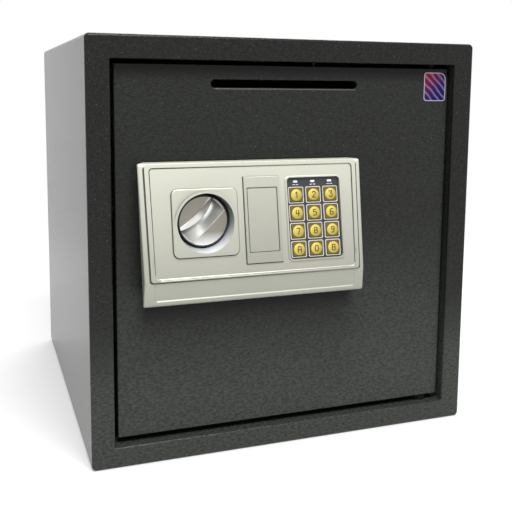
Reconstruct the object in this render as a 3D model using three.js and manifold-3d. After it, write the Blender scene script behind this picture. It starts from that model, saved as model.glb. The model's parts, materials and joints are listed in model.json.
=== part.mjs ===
// A steel drop safe: a folded cabinet, a recessed door with a deposit slot, and a digital lock with a
// turning knob, a key cover and twelve keys. Millimetres, +Z up, front towards -Y, and the origin on the
// floor under the middle of the cabinet.

import * as THREE from 'three';
import { mergeVertices } from 'three/addons/utils/BufferGeometryUtils.js';
import Module from 'manifold-3d';

const wasm = await Module();
wasm.setup();

// Cabinet
const cabinetWidth = 346;
const cabinetHeight = 350;
const cabinetDepth = 352;
const sheet = 2;
const cornerRadius = 4;
const foldRadius = 2.5;
const frameSide = 19;
const frameTop = 19;
const frameBottom = 17.5;
const returnDepth = 22;
const anchorRadius = 5;
const anchorDistance = 180;
const anchorHeight = 250;
const matThickness = 2;
const matMargin = 3;

// Fits
const fitGap = 0.3;
const runningGap = 0.4;
const overrun = 6;

// Door
const doorRecess = 7;
const doorThickness = 4;
const doorEdge = 0.7;
const gapLatchSide = 3.7;
const gapHingeSide = 2.3;
const gapTop = 3;
const gapBottom = 5.2;

// Deposit slot and the hood behind it
const slotWidth = 132;
const slotHeight = 6.8;
const slotOffCentre = 6.1;
const slotBelowTop = 15.5;
const hoodSheet = 1.5;
const hoodOverlap = 9;
const hoodRise = 9;
const hoodDrop = 23;
const hoodDepth = 26;
const hoodSlope = 11;
const hoodLip = 7;
const toothPitch = 10;
const toothDepth = 4;

// Door stiles and pivots
const stileSheet = 1.5;
const stileInset = 1.5;
const latchStileWidth = 24;
const stileEndMargin = 3;
const stileBehindBolt = 3;
const pivotInset = 15;
const pivotDepth = 8;
const pinRadius = 4;
const pinCollarRadius = 7;
const pinCollarLength = 3;
const pinInStile = 24;
const pinAboveBracket = 3;
const hingeStileHalf = 12;
const hingeStileBehind = 11;
const bracketHalf = 13;
const bracketThickness = 4;

// Bolts and their carriage
const boltRadius = 9;
const boltBehindReturn = 2;
const boltTipInset = 0.8;
const boltDistance = 100;
const carriageThickness = 2.5;
const carriageFromBack = 8;
const carriageFlange = 3;
const carriageFlangeBehind = 9;
const carriageFromKnob = 6;
const carriagePastSlots = 5.8;
const carriageMargin = 13;
const carriageCorner = 6;
const guideAhead = 12.7;
const guideRise = 32;
const guideRadius = 3;
const guideHeadRadius = 6;
const guideHeadThickness = 2;

// Knob, spindle and crank
const knobRadius = 21.1;
const knobFaceHeight = 16.8;
const knobRim = 4.8;
const knobEdge = 0.6;
const knobHubRadius = 8;
const knobHubGap = 2.7;
const gripWidth = 17.5;
const gripCrest = 11;
const gripCrestInset = 1.3;
const gripToe = 0.9;
const gripEndHeight = 3;
const spindleRadius = 4;
const spindleInKnob = 9;
const crankRadius = 15;
const crankThickness = 3;
const crankFromBack = 2;
const crankThrow = 10;
const crankPinRadius = 3;
const crankPinPast = 3;
const crankSlotGap = 0.5;
const knobTurn = 90;
const bushFlange = 4;
const bushFlangeThickness = 2;
const bushWall = 4;

// Override lock
const lockBodyRadius = 7;
const plugRadius = 5;
const plugUnderCover = 2.6;
const plugBackReach = 19;
const plugTailRadius = 3.5;
const plugTailLength = 8;
const keyholeWidth = 1.8;
const keyholeHeight = 7;
const keyholeDepth = 5;
const camWall = 0.7;
const camReach = 24;
const camThickness = 3;

// Solenoid that holds the carriage
const solenoidWidth = 30;
const solenoidHeight = 28;
const solenoidBelow = 14;
const solenoidHalfDepth = 8.7;
const plungerRadius = 4;
const plungerShort = 0.8;
const plungerSeat = 6;
const notchGap = 0.6;
const notchDepth = 8;

// Cover over the works on the back of the door
const coverSheet = 1.2;
const coverFromLatchStile = 7.1;
const coverFromHingeStile = 34.4;
const coverBelowHood = 15.5;
const coverAboveCarriage = 8;
const coverBelowSolenoid = 6;
const coverBehindBolt = 5;
const coverTabWidth = 22;
const coverTabHeight = 11;
const coverTabInset = 12;
const screwRadius = 2;
const screwHeadRadius = 4;
const screwHeadHeight = 2.4;
const screwInDoor = 2.5;
const resetRadius = 4;
const resetFlange = 1.6;
const resetProud = 2.4;
const resetLength = 9;
const resetFromRight = 14;
const resetFromTop = 40;

// Battery box
const batteryRadius = 7.25;
const batteryLength = 49;
const batteryNippleRadius = 2.7;
const batteryNipple = 1.5;
const batteryCount = 4;
const batteryPlay = 0.5;
const batteryWall = 1.5;
const batteryFromRight = 20;
const batteryRise = 29;
const lidThickness = 1.8;
const lidOverlap = 4;
const railSheet = 1.2;
const railLip = 2.4;

// Lock fascia: its face leans back towards the top
const fasciaFromLatchEdge = 15.1;
const bandHeight = 20.3;
const ridgeInset = 1.8;
const bandTaperWidth = 0.7;
const fasciaTopReach = 15;
const fasciaRidgeReach = 32;
const fasciaBottomReach = 28.5;
const fasciaWall = 2.2;
const fasciaEdge = 2.4;
const fasciaCorner = 4;
const sideUndercut = 7;
const baseUndercut = 5;
const lipThickness = 6;
const wingWidth = 5;
const wingStep = 1.3;
const insetMargin = 4.5;
const insetRaise = 0.35;
const insetCorner = 3;
const bandLineRise = 3.4;
const bandLineWidth = 1.1;
const bandLineRaise = 0.45;
const bandLineMargin = 13;
const bossRadius = 3.4;
const bossInset = 8.5;
const basePlateInset = 9;
const basePlateThickness = 2;

// Knob pad and well in the fascia
const padFromSide = 25.5;
const padPastWell = 2.8;
const padCorner = 5;
const padRaise = 0.8;
const wellGap = 0.9;
const wellFlare = 2.2;
const wellWall = 1.8;
const wellFloorHeight = 9;

// Key cover in the fascia
const keyCoverFromPad = 5.8;
const keyCoverWidth = 31.7;
const keyCoverBelowKeypad = 1.2;
const keyCoverAboveKeypad = 1.8;
const keyCoverThickness = 2.4;
const keyCoverProud = 0.6;
const keyCoverInsetSide = 2.6;
const keyCoverInsetEnd = 9;
const keyCoverGroove = 0.4;

// Keypad
const keypadFromCover = 6.5;
const keypadFromSide = 21;
const keypadRise = 10.8;
const keypadBelowTop = 14.3;
const keypadCorner = 3;
const keypadRim = 1.4;
const keypadRimRaise = 0.5;
const keypadSink = 2;
const keypadPlate = 1.5;
const keyPitchAcross = 15.5;
const keyPitchUp = 15;
const bezelFromSide = 1.45;
const bezelFromBottom = 1.1;
const keySize = 11.3;
const keyCorner = 1;
const keyProud = 1.1;
const keyStem = 1.1;
const keyDomeRadius = 4.9;
const keyDomeHeight = 0.7;
const domeShoulderShare = 0.66;
const domeRiseShare = 0.75;
const bezelBorder = 1.35;
const bezelRaise = 0.35;
const lampWidth = 4;
const lampHeight = 1.9;
const lampAboveBezel = 4.3;
const lampBelowTop = 3.3;
const lampProud = 0.2;
const boardThickness = 1.6;
const boardBelowKeys = 1.6;
const boardMargin = 0.8;

// Steps on round forms
const fineSteps = 48;
const roundSteps = 28;
const smallSteps = 16;
const curveSteps = 4;
const cornerSteps = 1;

// Places worked out from the sizes
const leftX = -cabinetWidth / 2;
const rightX = cabinetWidth / 2;
const frontY = -cabinetDepth / 2;
const backY = cabinetDepth / 2;
const openingLeft = leftX + frameSide;
const openingRight = rightX - frameSide;
const openingTop = cabinetHeight - frameTop;
const doorLeft = openingLeft + gapLatchSide;
const doorRight = openingRight - gapHingeSide;
const doorBottom = frameBottom + gapBottom;
const doorTop = openingTop - gapTop;
const doorFaceY = frontY + doorRecess;
const doorBackY = doorFaceY + doorThickness;
const behindDoor = doorBackY + fitGap;
const slotX = (doorLeft + doorRight) / 2 - slotOffCentre;
const slotZ = doorTop - slotBelowTop;
const hoodBottomZ = slotZ - hoodDrop;
const pivotX = doorRight - pivotInset;
const pivotY = doorFaceY + pivotDepth;
const boltY = frontY + returnDepth + boltBehindReturn + boltRadius;

// The lock's face is laid out up the slope from the ridge and across from its middle.
const bezelHalf = keySize / 2 + bezelBorder;
const keyFirstAcross = bezelHalf + bezelFromSide;
const keyFirstUp = bezelHalf + bezelFromBottom;
const keypadWidth = 2 * (keyPitchAcross + keyFirstAcross);
const lampRise = keyFirstUp + 3 * keyPitchUp + bezelHalf + lampAboveBezel;
const keypadHeight = lampRise + lampBelowTop;
const faceLength = keypadRise + keypadHeight + keypadBelowTop;
const lean = Math.asin((fasciaRidgeReach - fasciaTopReach) / faceLength);
const fasciaHeight = bandHeight + faceLength * Math.cos(lean);
const wellFloorRadius = knobRadius + wellGap;
const wellRimRadius = wellFloorRadius + wellFlare;
const padHalf = wellRimRadius + padPastWell;
const fasciaTopHalf = (padFromSide + 2 * padHalf + keyCoverFromPad + keyCoverWidth
  + keypadFromCover + keypadWidth + keypadFromSide) / 2;
const fasciaRidgeHalf = fasciaTopHalf - ridgeInset;
const fasciaX = doorLeft + fasciaFromLatchEdge + fasciaTopHalf;
const padMiddle = padFromSide + padHalf - fasciaTopHalf;
const keyCoverFrom = padMiddle + padHalf + keyCoverFromPad;
const keyCoverRise = keypadRise - keyCoverBelowKeypad;
const keyCoverHeight = keypadHeight + keyCoverBelowKeypad + keyCoverAboveKeypad;
const keypadFrom = keyCoverFrom + keyCoverWidth + keypadFromCover;
const padRise = keyCoverRise + keyCoverHeight / 2;
const knobX = fasciaX + padMiddle;
const fasciaStandoff = basePlateThickness + 2 * fitGap;

// The cover hangs under the hood, the carriage under the cover's top, and the knob turns at its middle.
const coverTop = hoodBottomZ - coverBelowHood;
const carriageTop = coverTop - coverAboveCarriage;
const knobZ = carriageTop - carriageMargin - boltDistance / 2;
const carriageBottom = knobZ - boltDistance / 2 - carriageMargin;
const solenoidTop = carriageBottom - solenoidBelow;
const solenoidBottom = solenoidTop - solenoidHeight;
const coverBottom = solenoidBottom - coverBelowSolenoid;
const latchStileRight = doorLeft + stileInset + latchStileWidth;
const coverLeft = latchStileRight + coverFromLatchStile;
const coverRight = pivotX - hingeStileHalf - coverFromHingeStile;
const coverBackY = boltY + boltRadius + coverBehindBolt;

const ridgeZ = knobZ - padRise * Math.cos(lean);
const fasciaBottomZ = ridgeZ - bandHeight;
const fasciaTopZ = fasciaBottomZ + fasciaHeight;
const lockX = fasciaX + keyCoverFrom + keyCoverWidth / 2;
const lockZ = knobZ;

// The half turn of the crank moves the carriage from one side of the spindle to the other.
const crankSwing = crankThrow * Math.sin(THREE.MathUtils.degToRad(knobTurn / 2));
const boltTravel = 2 * crankSwing;

// Materials, with colours as the photograph shows them
const paint = new THREE.MeshStandardMaterial({ color: 0x3b3d3b, roughness: 0.6, metalness: 0.2 });
const plainSteel = new THREE.MeshStandardMaterial({ color: 0x9b9d9e, roughness: 0.4, metalness: 1 });
const zincSteel = new THREE.MeshStandardMaterial({ color: 0xb4b3a8, roughness: 0.45, metalness: 1 });
const silverPlastic = new THREE.MeshStandardMaterial({ color: 0xc6c3b5, roughness: 0.4, metalness: 0.35 });
const satinMetal = new THREE.MeshStandardMaterial({ color: 0xa9a79f, roughness: 0.3, metalness: 1 });
const darkPlastic = new THREE.MeshStandardMaterial({ color: 0x2c2e35, roughness: 0.5, metalness: 0 });
const blackPlastic = new THREE.MeshStandardMaterial({ color: 0x17181a, roughness: 0.6, metalness: 0 });
const keyBrass = new THREE.MeshStandardMaterial({ color: 0xc8b450, roughness: 0.35, metalness: 0.7 });
const lampPlastic = new THREE.MeshStandardMaterial({ color: 0xe4e6e8, roughness: 0.3, metalness: 0 });
const boardGreen = new THREE.MeshStandardMaterial({ color: 0x1f5b38, roughness: 0.5, metalness: 0 });
const lockBrass = new THREE.MeshStandardMaterial({ color: 0xb79a58, roughness: 0.35, metalness: 1 });
const buttonRed = new THREE.MeshStandardMaterial({ color: 0xa62a25, roughness: 0.5, metalness: 0 });
const cellGrey = new THREE.MeshStandardMaterial({ color: 0x5f6468, roughness: 0.4, metalness: 0.5 });
const matFelt = new THREE.MeshStandardMaterial({ color: 0x2a2b2c, roughness: 0.95, metalness: 0 });

// Axes that turn an outline into place
const axisX = new THREE.Vector3(1, 0, 0);
const axisY = new THREE.Vector3(0, 1, 0);
const axisZ = new THREE.Vector3(0, 0, 1);
const frontward = new THREE.Matrix4().makeBasis(axisX, axisZ, axisY.clone().negate());
const rightward = new THREE.Matrix4().makeBasis(axisY, axisZ, axisX);

// The lock's face frame: x across, z up the slope, and -y straight out of the face. Its origin is the
// middle of the ridge.
const faceFrame = new THREE.Matrix4()
  .makeTranslation(fasciaX, doorFaceY - fasciaRidgeReach, ridgeZ)
  .multiply(new THREE.Matrix4().makeRotationX(-lean));

// A closed solid from a geometry, whichever way its triangles wind.
function solidOf(geometry) {
  const bare = new THREE.BufferGeometry();
  bare.setAttribute('position', geometry.getAttribute('position'));
  bare.setIndex(geometry.index);
  const merged = mergeVertices(bare);
  const corners = merged.getAttribute('position');
  const index = merged.index;
  const kept = [];
  const a = new THREE.Vector3();
  const b = new THREE.Vector3();
  const c = new THREE.Vector3();
  let volume = 0;
  for (let i = 0; i < index.count; i += 3) {
    const [p, q, r] = [index.getX(i), index.getX(i + 1), index.getX(i + 2)];
    if (p === q || q === r || r === p) continue;
    a.fromBufferAttribute(corners, p);
    b.fromBufferAttribute(corners, q);
    c.fromBufferAttribute(corners, r);
    volume += a.dot(b.cross(c));
    kept.push([p, q, r]);
  }
  const wound = volume < 0 ? kept.map(([p, q, r]) => [p, r, q]) : kept;
  return new wasm.Manifold(new wasm.Mesh({
    numProp: 3,
    vertProperties: Float32Array.from(corners.array),
    triVerts: Uint32Array.from(wound.flat()),
  }));
}

function geometryOf(solid) {
  const mesh = solid.getMesh();
  const geometry = new THREE.BufferGeometry();
  geometry.setAttribute('position', new THREE.BufferAttribute(Float32Array.from(mesh.vertProperties), 3));
  geometry.setIndex(new THREE.BufferAttribute(Uint32Array.from(mesh.triVerts), 1));
  geometry.computeVertexNormals();
  return geometry;
}

const joined = (first, ...others) => others.reduce((all, one) => all.add(one), first);
const cut = (first, ...others) => others.reduce((all, one) => all.subtract(one), first);

// A block between two corners
function block(x0, x1, y0, y1, z0, z1) {
  const box = new THREE.BoxGeometry(x1 - x0, y1 - y0, z1 - z0);
  return solidOf(box.translate((x0 + x1) / 2, (y0 + y1) / 2, (z0 + z1) / 2));
}

// A round bar along x, y or z between two stations
function barX(radius, x0, x1, y, z, steps = smallSteps) {
  const bar = new THREE.CylinderGeometry(radius, radius, x1 - x0, steps).rotateZ(Math.PI / 2);
  return solidOf(bar.translate((x0 + x1) / 2, y, z));
}

function barY(radius, y0, y1, x, z, steps = smallSteps, backRadius = radius) {
  const bar = new THREE.CylinderGeometry(backRadius, radius, y1 - y0, steps);
  return solidOf(bar.translate(x, (y0 + y1) / 2, z));
}

function barZ(radius, z0, z1, x, y, steps = smallSteps) {
  const bar = new THREE.CylinderGeometry(radius, radius, z1 - z0, steps).rotateX(Math.PI / 2);
  return solidOf(bar.translate(x, y, (z0 + z1) / 2));
}

// An outline with straight runs and round corners; a point may hold its own radius.
function roundedOutline(points, radius) {
  const shape = new THREE.Shape();
  const corners = points.map(([u, v]) => new THREE.Vector2(u, v));
  corners.forEach((corner, i) => {
    const back = corners.at(i - 1).clone().sub(corner).normalize();
    const ahead = corners[(i + 1) % corners.length].clone().sub(corner).normalize();
    const bend = points[i][2] ?? radius;
    const half = back.angleTo(ahead) / 2;
    const reach = bend / Math.tan(half);
    const start = corner.clone().addScaledVector(back, reach);
    const end = corner.clone().addScaledVector(ahead, reach);
    if (i === 0) shape.moveTo(start.x, start.y);
    else shape.lineTo(start.x, start.y);
    if (bend === 0) return;
    const centre = back.add(ahead).setLength(bend / Math.sin(half)).add(corner);
    start.sub(centre);
    end.sub(centre);
    shape.absarc(centre.x, centre.y, bend, start.angle(), end.angle(), start.cross(end) < 0);
  });
  shape.closePath();
  return shape;
}

const rectangle = (x0, x1, z0, z1, radius = 0) =>
  roundedOutline([[x0, z0], [x1, z0], [x1, z1], [x0, z1]], radius);

// An outline in x and z, made thick along y between two stations, with both rims rounded by edge.
function slab(shape, y0, y1, edge = 0, edgeSteps = 1, arcSteps = curveSteps) {
  const geometry = new THREE.ExtrudeGeometry(shape, {
    depth: y1 - y0 - 2 * edge,
    curveSegments: arcSteps,
    bevelEnabled: edge > 0,
    bevelThickness: edge,
    bevelSize: edge,
    bevelOffset: -edge,
    bevelSegments: edgeSteps,
  });
  return geometry.applyMatrix4(frontward).translate(0, y1 - edge, 0);
}

// An outline in y and z, made wide along x about the middle, with both rims rounded by edge.
function profileAcross(shape, halfWidth, edge = 0, edgeSteps = 3) {
  const geometry = new THREE.ExtrudeGeometry(shape, {
    depth: 2 * (halfWidth - edge),
    curveSegments: curveSteps,
    bevelEnabled: edge > 0,
    bevelThickness: edge,
    bevelSize: edge,
    bevelOffset: -edge,
    bevelSegments: edgeSteps,
  });
  return geometry.applyMatrix4(rightward).translate(edge - halfWidth, 0, 0);
}

// A turned form about a line along y through x, z: radii with their stations, front first.
function turned(stations, x, z, steps = smallSteps) {
  const profile = stations.map(([radius, y]) => new THREE.Vector2(radius, -y));
  const geometry = new THREE.LatheGeometry(profile, steps).rotateX(Math.PI);
  return solidOf(geometry.translate(x, 0, z));
}

const safe = new THREE.Group();
const lockFace = new THREE.Group();
lockFace.applyMatrix4(faceFrame);
safe.add(lockFace);

function piece(name, solid, material, parent = safe) {
  const mesh = new THREE.Mesh(geometryOf(solid), material);
  mesh.name = name;
  parent.add(mesh);
}

// Cabinet: one sheet wrapped round, folded in at the front and folded back again as a return.
function cabinetWrap() {
  const outside = rectangle(leftX, rightX, 0, cabinetHeight, cornerRadius);
  const inside = rectangle(
    leftX + sheet, rightX - sheet, sheet, cabinetHeight - sheet, cornerRadius - sheet);
  const opening = (grow, y0, y1) =>
    block(openingLeft - grow, openingRight + grow, y0, y1, frameBottom - grow, openingTop + grow);
  const hull = solidOf(slab(outside, frontY, backY + foldRadius, foldRadius, 3));
  const room = solidOf(slab(inside, frontY + sheet, backY + overrun));
  const pastBack = block(
    leftX - overrun, rightX + overrun, backY, backY + overrun, -overrun, cabinetHeight + overrun);
  const pivotHoles = barZ(
    pinRadius + runningGap, frameBottom - overrun, openingTop + overrun, pivotX, pivotY);
  const returnRing = opening(sheet, frontY + sheet / 2, frontY + returnDepth);
  const shell = joined(cut(hull, room, pastBack), returnRing);
  return cut(shell, opening(0, frontY - overrun, frontY + returnDepth + overrun), pivotHoles);
}

// The back plate has two holes for bolts into a wall.
function backPanel() {
  const inset = sheet + fitGap;
  const outline = rectangle(
    leftX + inset, rightX - inset, inset, cabinetHeight - inset, cornerRadius - sheet);
  const holes = [-1, 1].map((side) =>
    barY(anchorRadius, backY - sheet - overrun, backY + overrun, side * anchorDistance / 2, anchorHeight));
  return cut(solidOf(slab(outline, backY - sheet, backY)), ...holes);
}

function hingeBracket(z0) {
  const plate = block(
    pivotX - bracketHalf, pivotX + bracketHalf, frontY + sheet + fitGap, pivotY + bracketHalf,
    z0, z0 + bracketThickness);
  const z1 = z0 + bracketThickness;
  return cut(plate, barZ(pinRadius + runningGap, z0 - overrun, z1 + overrun, pivotX, pivotY));
}

const upperBracketZ = openingTop + sheet + fitGap;
const lowerBracketZ = frameBottom - sheet - fitGap - bracketThickness;

function floorMat() {
  const margin = sheet + matMargin;
  const z0 = sheet + fitGap;
  return block(leftX + margin, rightX - margin, frontY + returnDepth, backY - margin, z0, z0 + matThickness);
}

// The washer carries the door on the lower return.
function hingeWasher() {
  const z0 = frameBottom + fitGap;
  const z1 = doorBottom - fitGap;
  const ring = barZ(pinCollarRadius, z0, z1, pivotX, pivotY);
  return cut(ring, barZ(pinRadius + runningGap, z0 - overrun, z1 + overrun, pivotX, pivotY));
}

piece('cabinet_wrap', cabinetWrap(), paint);
piece('back_panel', backPanel(), paint);
piece('hinge_bracket_upper', hingeBracket(upperBracketZ), plainSteel);
piece('hinge_bracket_lower', hingeBracket(lowerBracketZ), plainSteel);
piece('hinge_washer', hingeWasher(), plainSteel);
piece('floor_mat', floorMat(), matFelt);

// Places of the cover's screws on the back of the door
const screwPlaces = [coverBottom - coverTabHeight / 2, coverTop + coverTabHeight / 2].flatMap((z) =>
  [coverLeft + coverTabInset + coverTabWidth / 2, coverRight - coverTabInset - coverTabWidth / 2]
    .map((x) => [x, z]));

// Door
function doorPlate() {
  const outline = rectangle(doorLeft, doorRight, doorBottom, doorTop);
  const plate = solidOf(slab(outline, doorFaceY, doorBackY, doorEdge));
  const slot = rectangle(
    slotX - slotWidth / 2, slotX + slotWidth / 2, slotZ - slotHeight / 2, slotZ + slotHeight / 2,
    slotHeight / 2);
  const y0 = doorFaceY - overrun;
  const y1 = doorBackY + overrun;
  const screwHoles = screwPlaces.map(([x, z]) =>
    barY(screwRadius + fitGap, doorBackY - screwInDoor - fitGap, y1, x, z));
  return cut(
    plate,
    solidOf(slab(slot, y0, y1)),
    barY(spindleRadius + runningGap + bushWall + fitGap, y0, y1, knobX, knobZ),
    barY(lockBodyRadius + fitGap, y0, y1, lockX, lockZ),
    ...screwHoles);
}

// A folded chute with a toothed lip, so that nothing can be drawn back out through the slot.
function slotHood() {
  const bottom = hoodBottomZ;
  const top = slotZ + hoodRise;
  const back = behindDoor + hoodDepth;
  const half = slotWidth / 2 + hoodOverlap;
  const side = (inset, front, floor) => roundedOutline([
    [front, floor],
    [back - hoodLip - inset, floor],
    [back - inset, bottom + hoodLip],
    [back - inset, top - hoodSlope - inset / 2],
    [back - hoodSlope - inset / 2, top - inset],
    [front, top - inset],
  ], 0);
  const shell = cut(
    solidOf(profileAcross(side(0, behindDoor, bottom), half)),
    solidOf(profileAcross(side(hoodSheet, behindDoor - overrun, bottom), half - hoodSheet)),
    block(hoodSheet - half, half - hoodSheet, behindDoor - overrun, back - hoodLip - hoodSheet,
      bottom - overrun, bottom + hoodSheet));
  const teeth = Math.floor((2 * half - 2 * hoodOverlap) / toothPitch);
  const notch = new THREE.Shape([
    new THREE.Vector2(-toothDepth, -overrun),
    new THREE.Vector2(toothDepth, -overrun),
    new THREE.Vector2(0, toothDepth),
  ]);
  const notches = Array.from({ length: teeth }, (_, i) =>
    solidOf(slab(notch, back - hoodLip - 2 * hoodSheet, back + overrun)
      .translate((i - (teeth - 1) / 2) * toothPitch, 0, bottom)));
  return cut(shell, ...notches).translate([slotX, 0, 0]);
}

const stileBottom = doorBottom + stileEndMargin;
const stileTop = doorTop - stileEndMargin;
const boltHeights = [knobZ + boltDistance / 2, knobZ - boltDistance / 2];

// A channel, open towards the door plate, that carries the bolts in two walls.
function latchStile() {
  const x0 = doorLeft + stileInset;
  const x1 = latchStileRight;
  const back = boltY + boltRadius + stileBehindBolt;
  const channel = cut(
    block(x0, x1, behindDoor, back, stileBottom, stileTop),
    block(x0 + stileSheet, x1 - stileSheet, behindDoor - overrun, back - stileSheet,
      stileBottom - overrun, stileTop + overrun));
  const holes = boltHeights.map((z) =>
    barX(boltRadius + runningGap, x0 - overrun, x1 + overrun, boltY, z, roundSteps));
  return cut(channel, ...holes);
}

function hingeStile() {
  const x0 = pivotX - hingeStileHalf;
  const x1 = pivotX + hingeStileHalf;
  const back = pivotY + hingeStileBehind;
  const tray = cut(
    block(x0, x1, behindDoor, back, stileBottom, stileTop),
    block(x0 + stileSheet, x1 - stileSheet, behindDoor - overrun, back - stileSheet,
      stileBottom + stileSheet, stileTop - stileSheet));
  return cut(tray, barZ(pinRadius + fitGap, stileBottom - overrun, stileTop + overrun, pivotX, pivotY));
}

// A pivot pin: its collar sits inside the stile and its end turns in the bracket.
function hingePin(end, collarZ, far) {
  const direction = Math.sign(far - collarZ);
  const shaft = barZ(pinRadius, Math.min(end, far), Math.max(end, far), pivotX, pivotY);
  const collarEnd = collarZ - direction * pinCollarLength;
  const collar = barZ(
    pinCollarRadius, Math.min(collarZ, collarEnd), Math.max(collarZ, collarEnd), pivotX, pivotY);
  const clearOfDoor = block(
    pivotX - hingeStileHalf, pivotX + hingeStileHalf, doorFaceY - overrun, behindDoor,
    doorBottom, doorTop);
  return cut(joined(shaft, collar), clearOfDoor);
}

piece('door_plate', doorPlate(), paint);
piece('slot_hood', slotHood(), paint);
piece('latch_stile', latchStile(), paint);
piece('hinge_stile', hingeStile(), paint);
piece('hinge_pin_upper', hingePin(
  stileTop - pinInStile, stileTop - stileSheet - fitGap, upperBracketZ + bracketThickness + pinAboveBracket),
plainSteel);
piece('hinge_pin_lower', hingePin(
  stileBottom + pinInStile, stileBottom + stileSheet + fitGap, lowerBracketZ - pinAboveBracket), plainSteel);

// Bolts and carriage
const guideX = knobX + guideAhead;
const guideReach = guideRadius + runningGap;
const carriageX = knobX - carriageFromKnob;
const carriageRight = guideX + boltTravel + guideReach + carriagePastSlots;
const boltTipX = doorLeft + boltTipInset;
const boltLength = carriageX - fitGap - boltTipX;
const carriageY = doorBackY + carriageFromBack;
const guideHeights = [knobZ + guideRise, knobZ - guideRise];

function bolt(z) {
  const chamfer = stileSheet / 2;
  const rod = new THREE.LatheGeometry([
    new THREE.Vector2(0, 0),
    new THREE.Vector2(boltRadius - chamfer, 0),
    new THREE.Vector2(boltRadius, chamfer),
    new THREE.Vector2(boltRadius, boltLength),
    new THREE.Vector2(0, boltLength),
  ], roundSteps);
  return solidOf(rod.rotateZ(-Math.PI / 2).translate(boltTipX, boltY, z));
}

function boltCarriage() {
  const y1 = carriageY + carriageThickness;
  const outline = rectangle(
    carriageX, carriageRight, carriageBottom, carriageTop, carriageCorner);
  const plate = solidOf(slab(outline, carriageY, y1));
  const flange = block(
    carriageX, carriageX + carriageFlange, carriageY, boltY + carriageFlangeBehind,
    carriageBottom, carriageTop);
  const y0 = carriageY - overrun;
  const pinReach = crankPinRadius + crankSlotGap;
  const pinX = knobX + crankSwing;
  const pinSlot = rectangle(
    pinX - pinReach, pinX + pinReach,
    knobZ - crankThrow - pinReach, knobZ - crankSwing + pinReach, pinReach);
  const guideSlots = guideHeights.map((z) => solidOf(slab(
    rectangle(
      guideX - guideReach, guideX + boltTravel + guideReach, z - guideReach, z + guideReach, guideReach),
    y0, y1 + overrun)));
  const notchHalf = plungerRadius + notchGap;
  const notches = [guideX, guideX + boltTravel].map((x) =>
    block(
      x - notchHalf, x + notchHalf, y0, y1 + overrun,
      carriageBottom - overrun, carriageBottom + notchDepth));
  return cut(joined(plate, flange), solidOf(slab(pinSlot, y0, y1 + overrun)), ...guideSlots, ...notches);
}

// A shouldered stud that keeps the carriage level as it slides.
function guideStud(z) {
  const head = carriageY + carriageThickness + fitGap;
  return turned([
    [0, behindDoor],
    [guideHeadRadius, behindDoor],
    [guideHeadRadius, carriageY - fitGap],
    [guideRadius, carriageY - fitGap],
    [guideRadius, head],
    [guideHeadRadius, head],
    [guideHeadRadius, head + guideHeadThickness],
    [0, head + guideHeadThickness],
  ], guideX, z);
}

piece('bolt_upper', bolt(boltHeights[0]), plainSteel);
piece('bolt_lower', bolt(boltHeights[1]), plainSteel);
piece('bolt_carriage', boltCarriage(), zincSteel);
piece('guide_stud_upper', guideStud(guideHeights[0]), plainSteel);
piece('guide_stud_lower', guideStud(guideHeights[1]), plainSteel);

const bushFrontY = doorFaceY - fitGap - bushFlangeThickness;
const knobBackY = bushFrontY - knobHubGap;

// Knob: a disc with a raised wedge grip that runs across it from lower left to upper right.
function knob() {
  const faceY = doorFaceY - knobFaceHeight;
  const disc = turned([
    [0, faceY],
    [knobRadius - knobEdge, faceY],
    [knobRadius, faceY + knobEdge],
    [knobRadius, faceY + knobRim],
    [knobHubRadius, faceY + knobRim],
    [knobHubRadius, knobBackY],
    [0, knobBackY],
  ], 0, 0, fineSteps);
  const half = gripWidth / 2;
  const wedge = new THREE.Shape([
    new THREE.Vector2(-half, -knobEdge),
    new THREE.Vector2(half, -knobEdge),
    new THREE.Vector2(half, gripToe),
    new THREE.Vector2(gripCrestInset - half, gripCrest),
    new THREE.Vector2(-half, gripCrest / 2),
  ]);
  const bar = new THREE.ExtrudeGeometry(wedge, { depth: 2 * knobRadius, bevelEnabled: false });
  bar.translate(0, 0, -knobRadius);
  const crown = new THREE.Shape();
  crown.moveTo(-knobRadius, -knobEdge);
  crown.lineTo(knobRadius, -knobEdge);
  crown.lineTo(knobRadius, gripEndHeight);
  crown.quadraticCurveTo(0, 2 * gripCrest - gripEndHeight, -knobRadius, gripEndHeight);
  const crownBar = new THREE.ExtrudeGeometry(crown, {
    depth: gripWidth, curveSegments: smallSteps, bevelEnabled: false });
  crownBar.translate(0, 0, -half).rotateY(-Math.PI / 2);
  const round = new THREE.CylinderGeometry(
    knobRadius - knobEdge, knobRadius - knobEdge, 2 * (gripCrest + knobEdge), fineSteps);
  const grip = solidOf(bar).intersect(solidOf(crownBar)).intersect(solidOf(round));
  const outward = axisY.clone().negate();
  const gripAcross = axisX.clone().sub(axisZ).normalize();
  const gripTurn = new THREE.Matrix4()
    .makeBasis(gripAcross, outward, gripAcross.clone().cross(outward))
    .setPosition(0, faceY, 0);
  const placedGrip = solidOf(geometryOf(grip).applyMatrix4(gripTurn));
  const socket = barY(
    spindleRadius + fitGap, knobBackY - spindleInKnob - fitGap, knobBackY + overrun, 0, 0);
  return cut(joined(disc, placedGrip), socket).translate([knobX, 0, knobZ]);
}

const crankY = doorBackY + crankFromBack;
const crankBackY = crankY + crankThickness;

piece('knob', knob(), satinMetal);
piece(
  'knob_spindle',
  barY(spindleRadius, knobBackY - spindleInKnob, crankY - fitGap, knobX, knobZ), zincSteel);
piece('knob_crank', joined(
  barY(crankRadius, crankY, crankBackY, knobX, knobZ, roundSteps),
  barY(crankPinRadius, crankBackY - crankThickness / 2, carriageY + carriageThickness + crankPinPast,
    knobX + crankSwing, knobZ - crankSwing)), zincSteel);

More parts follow.
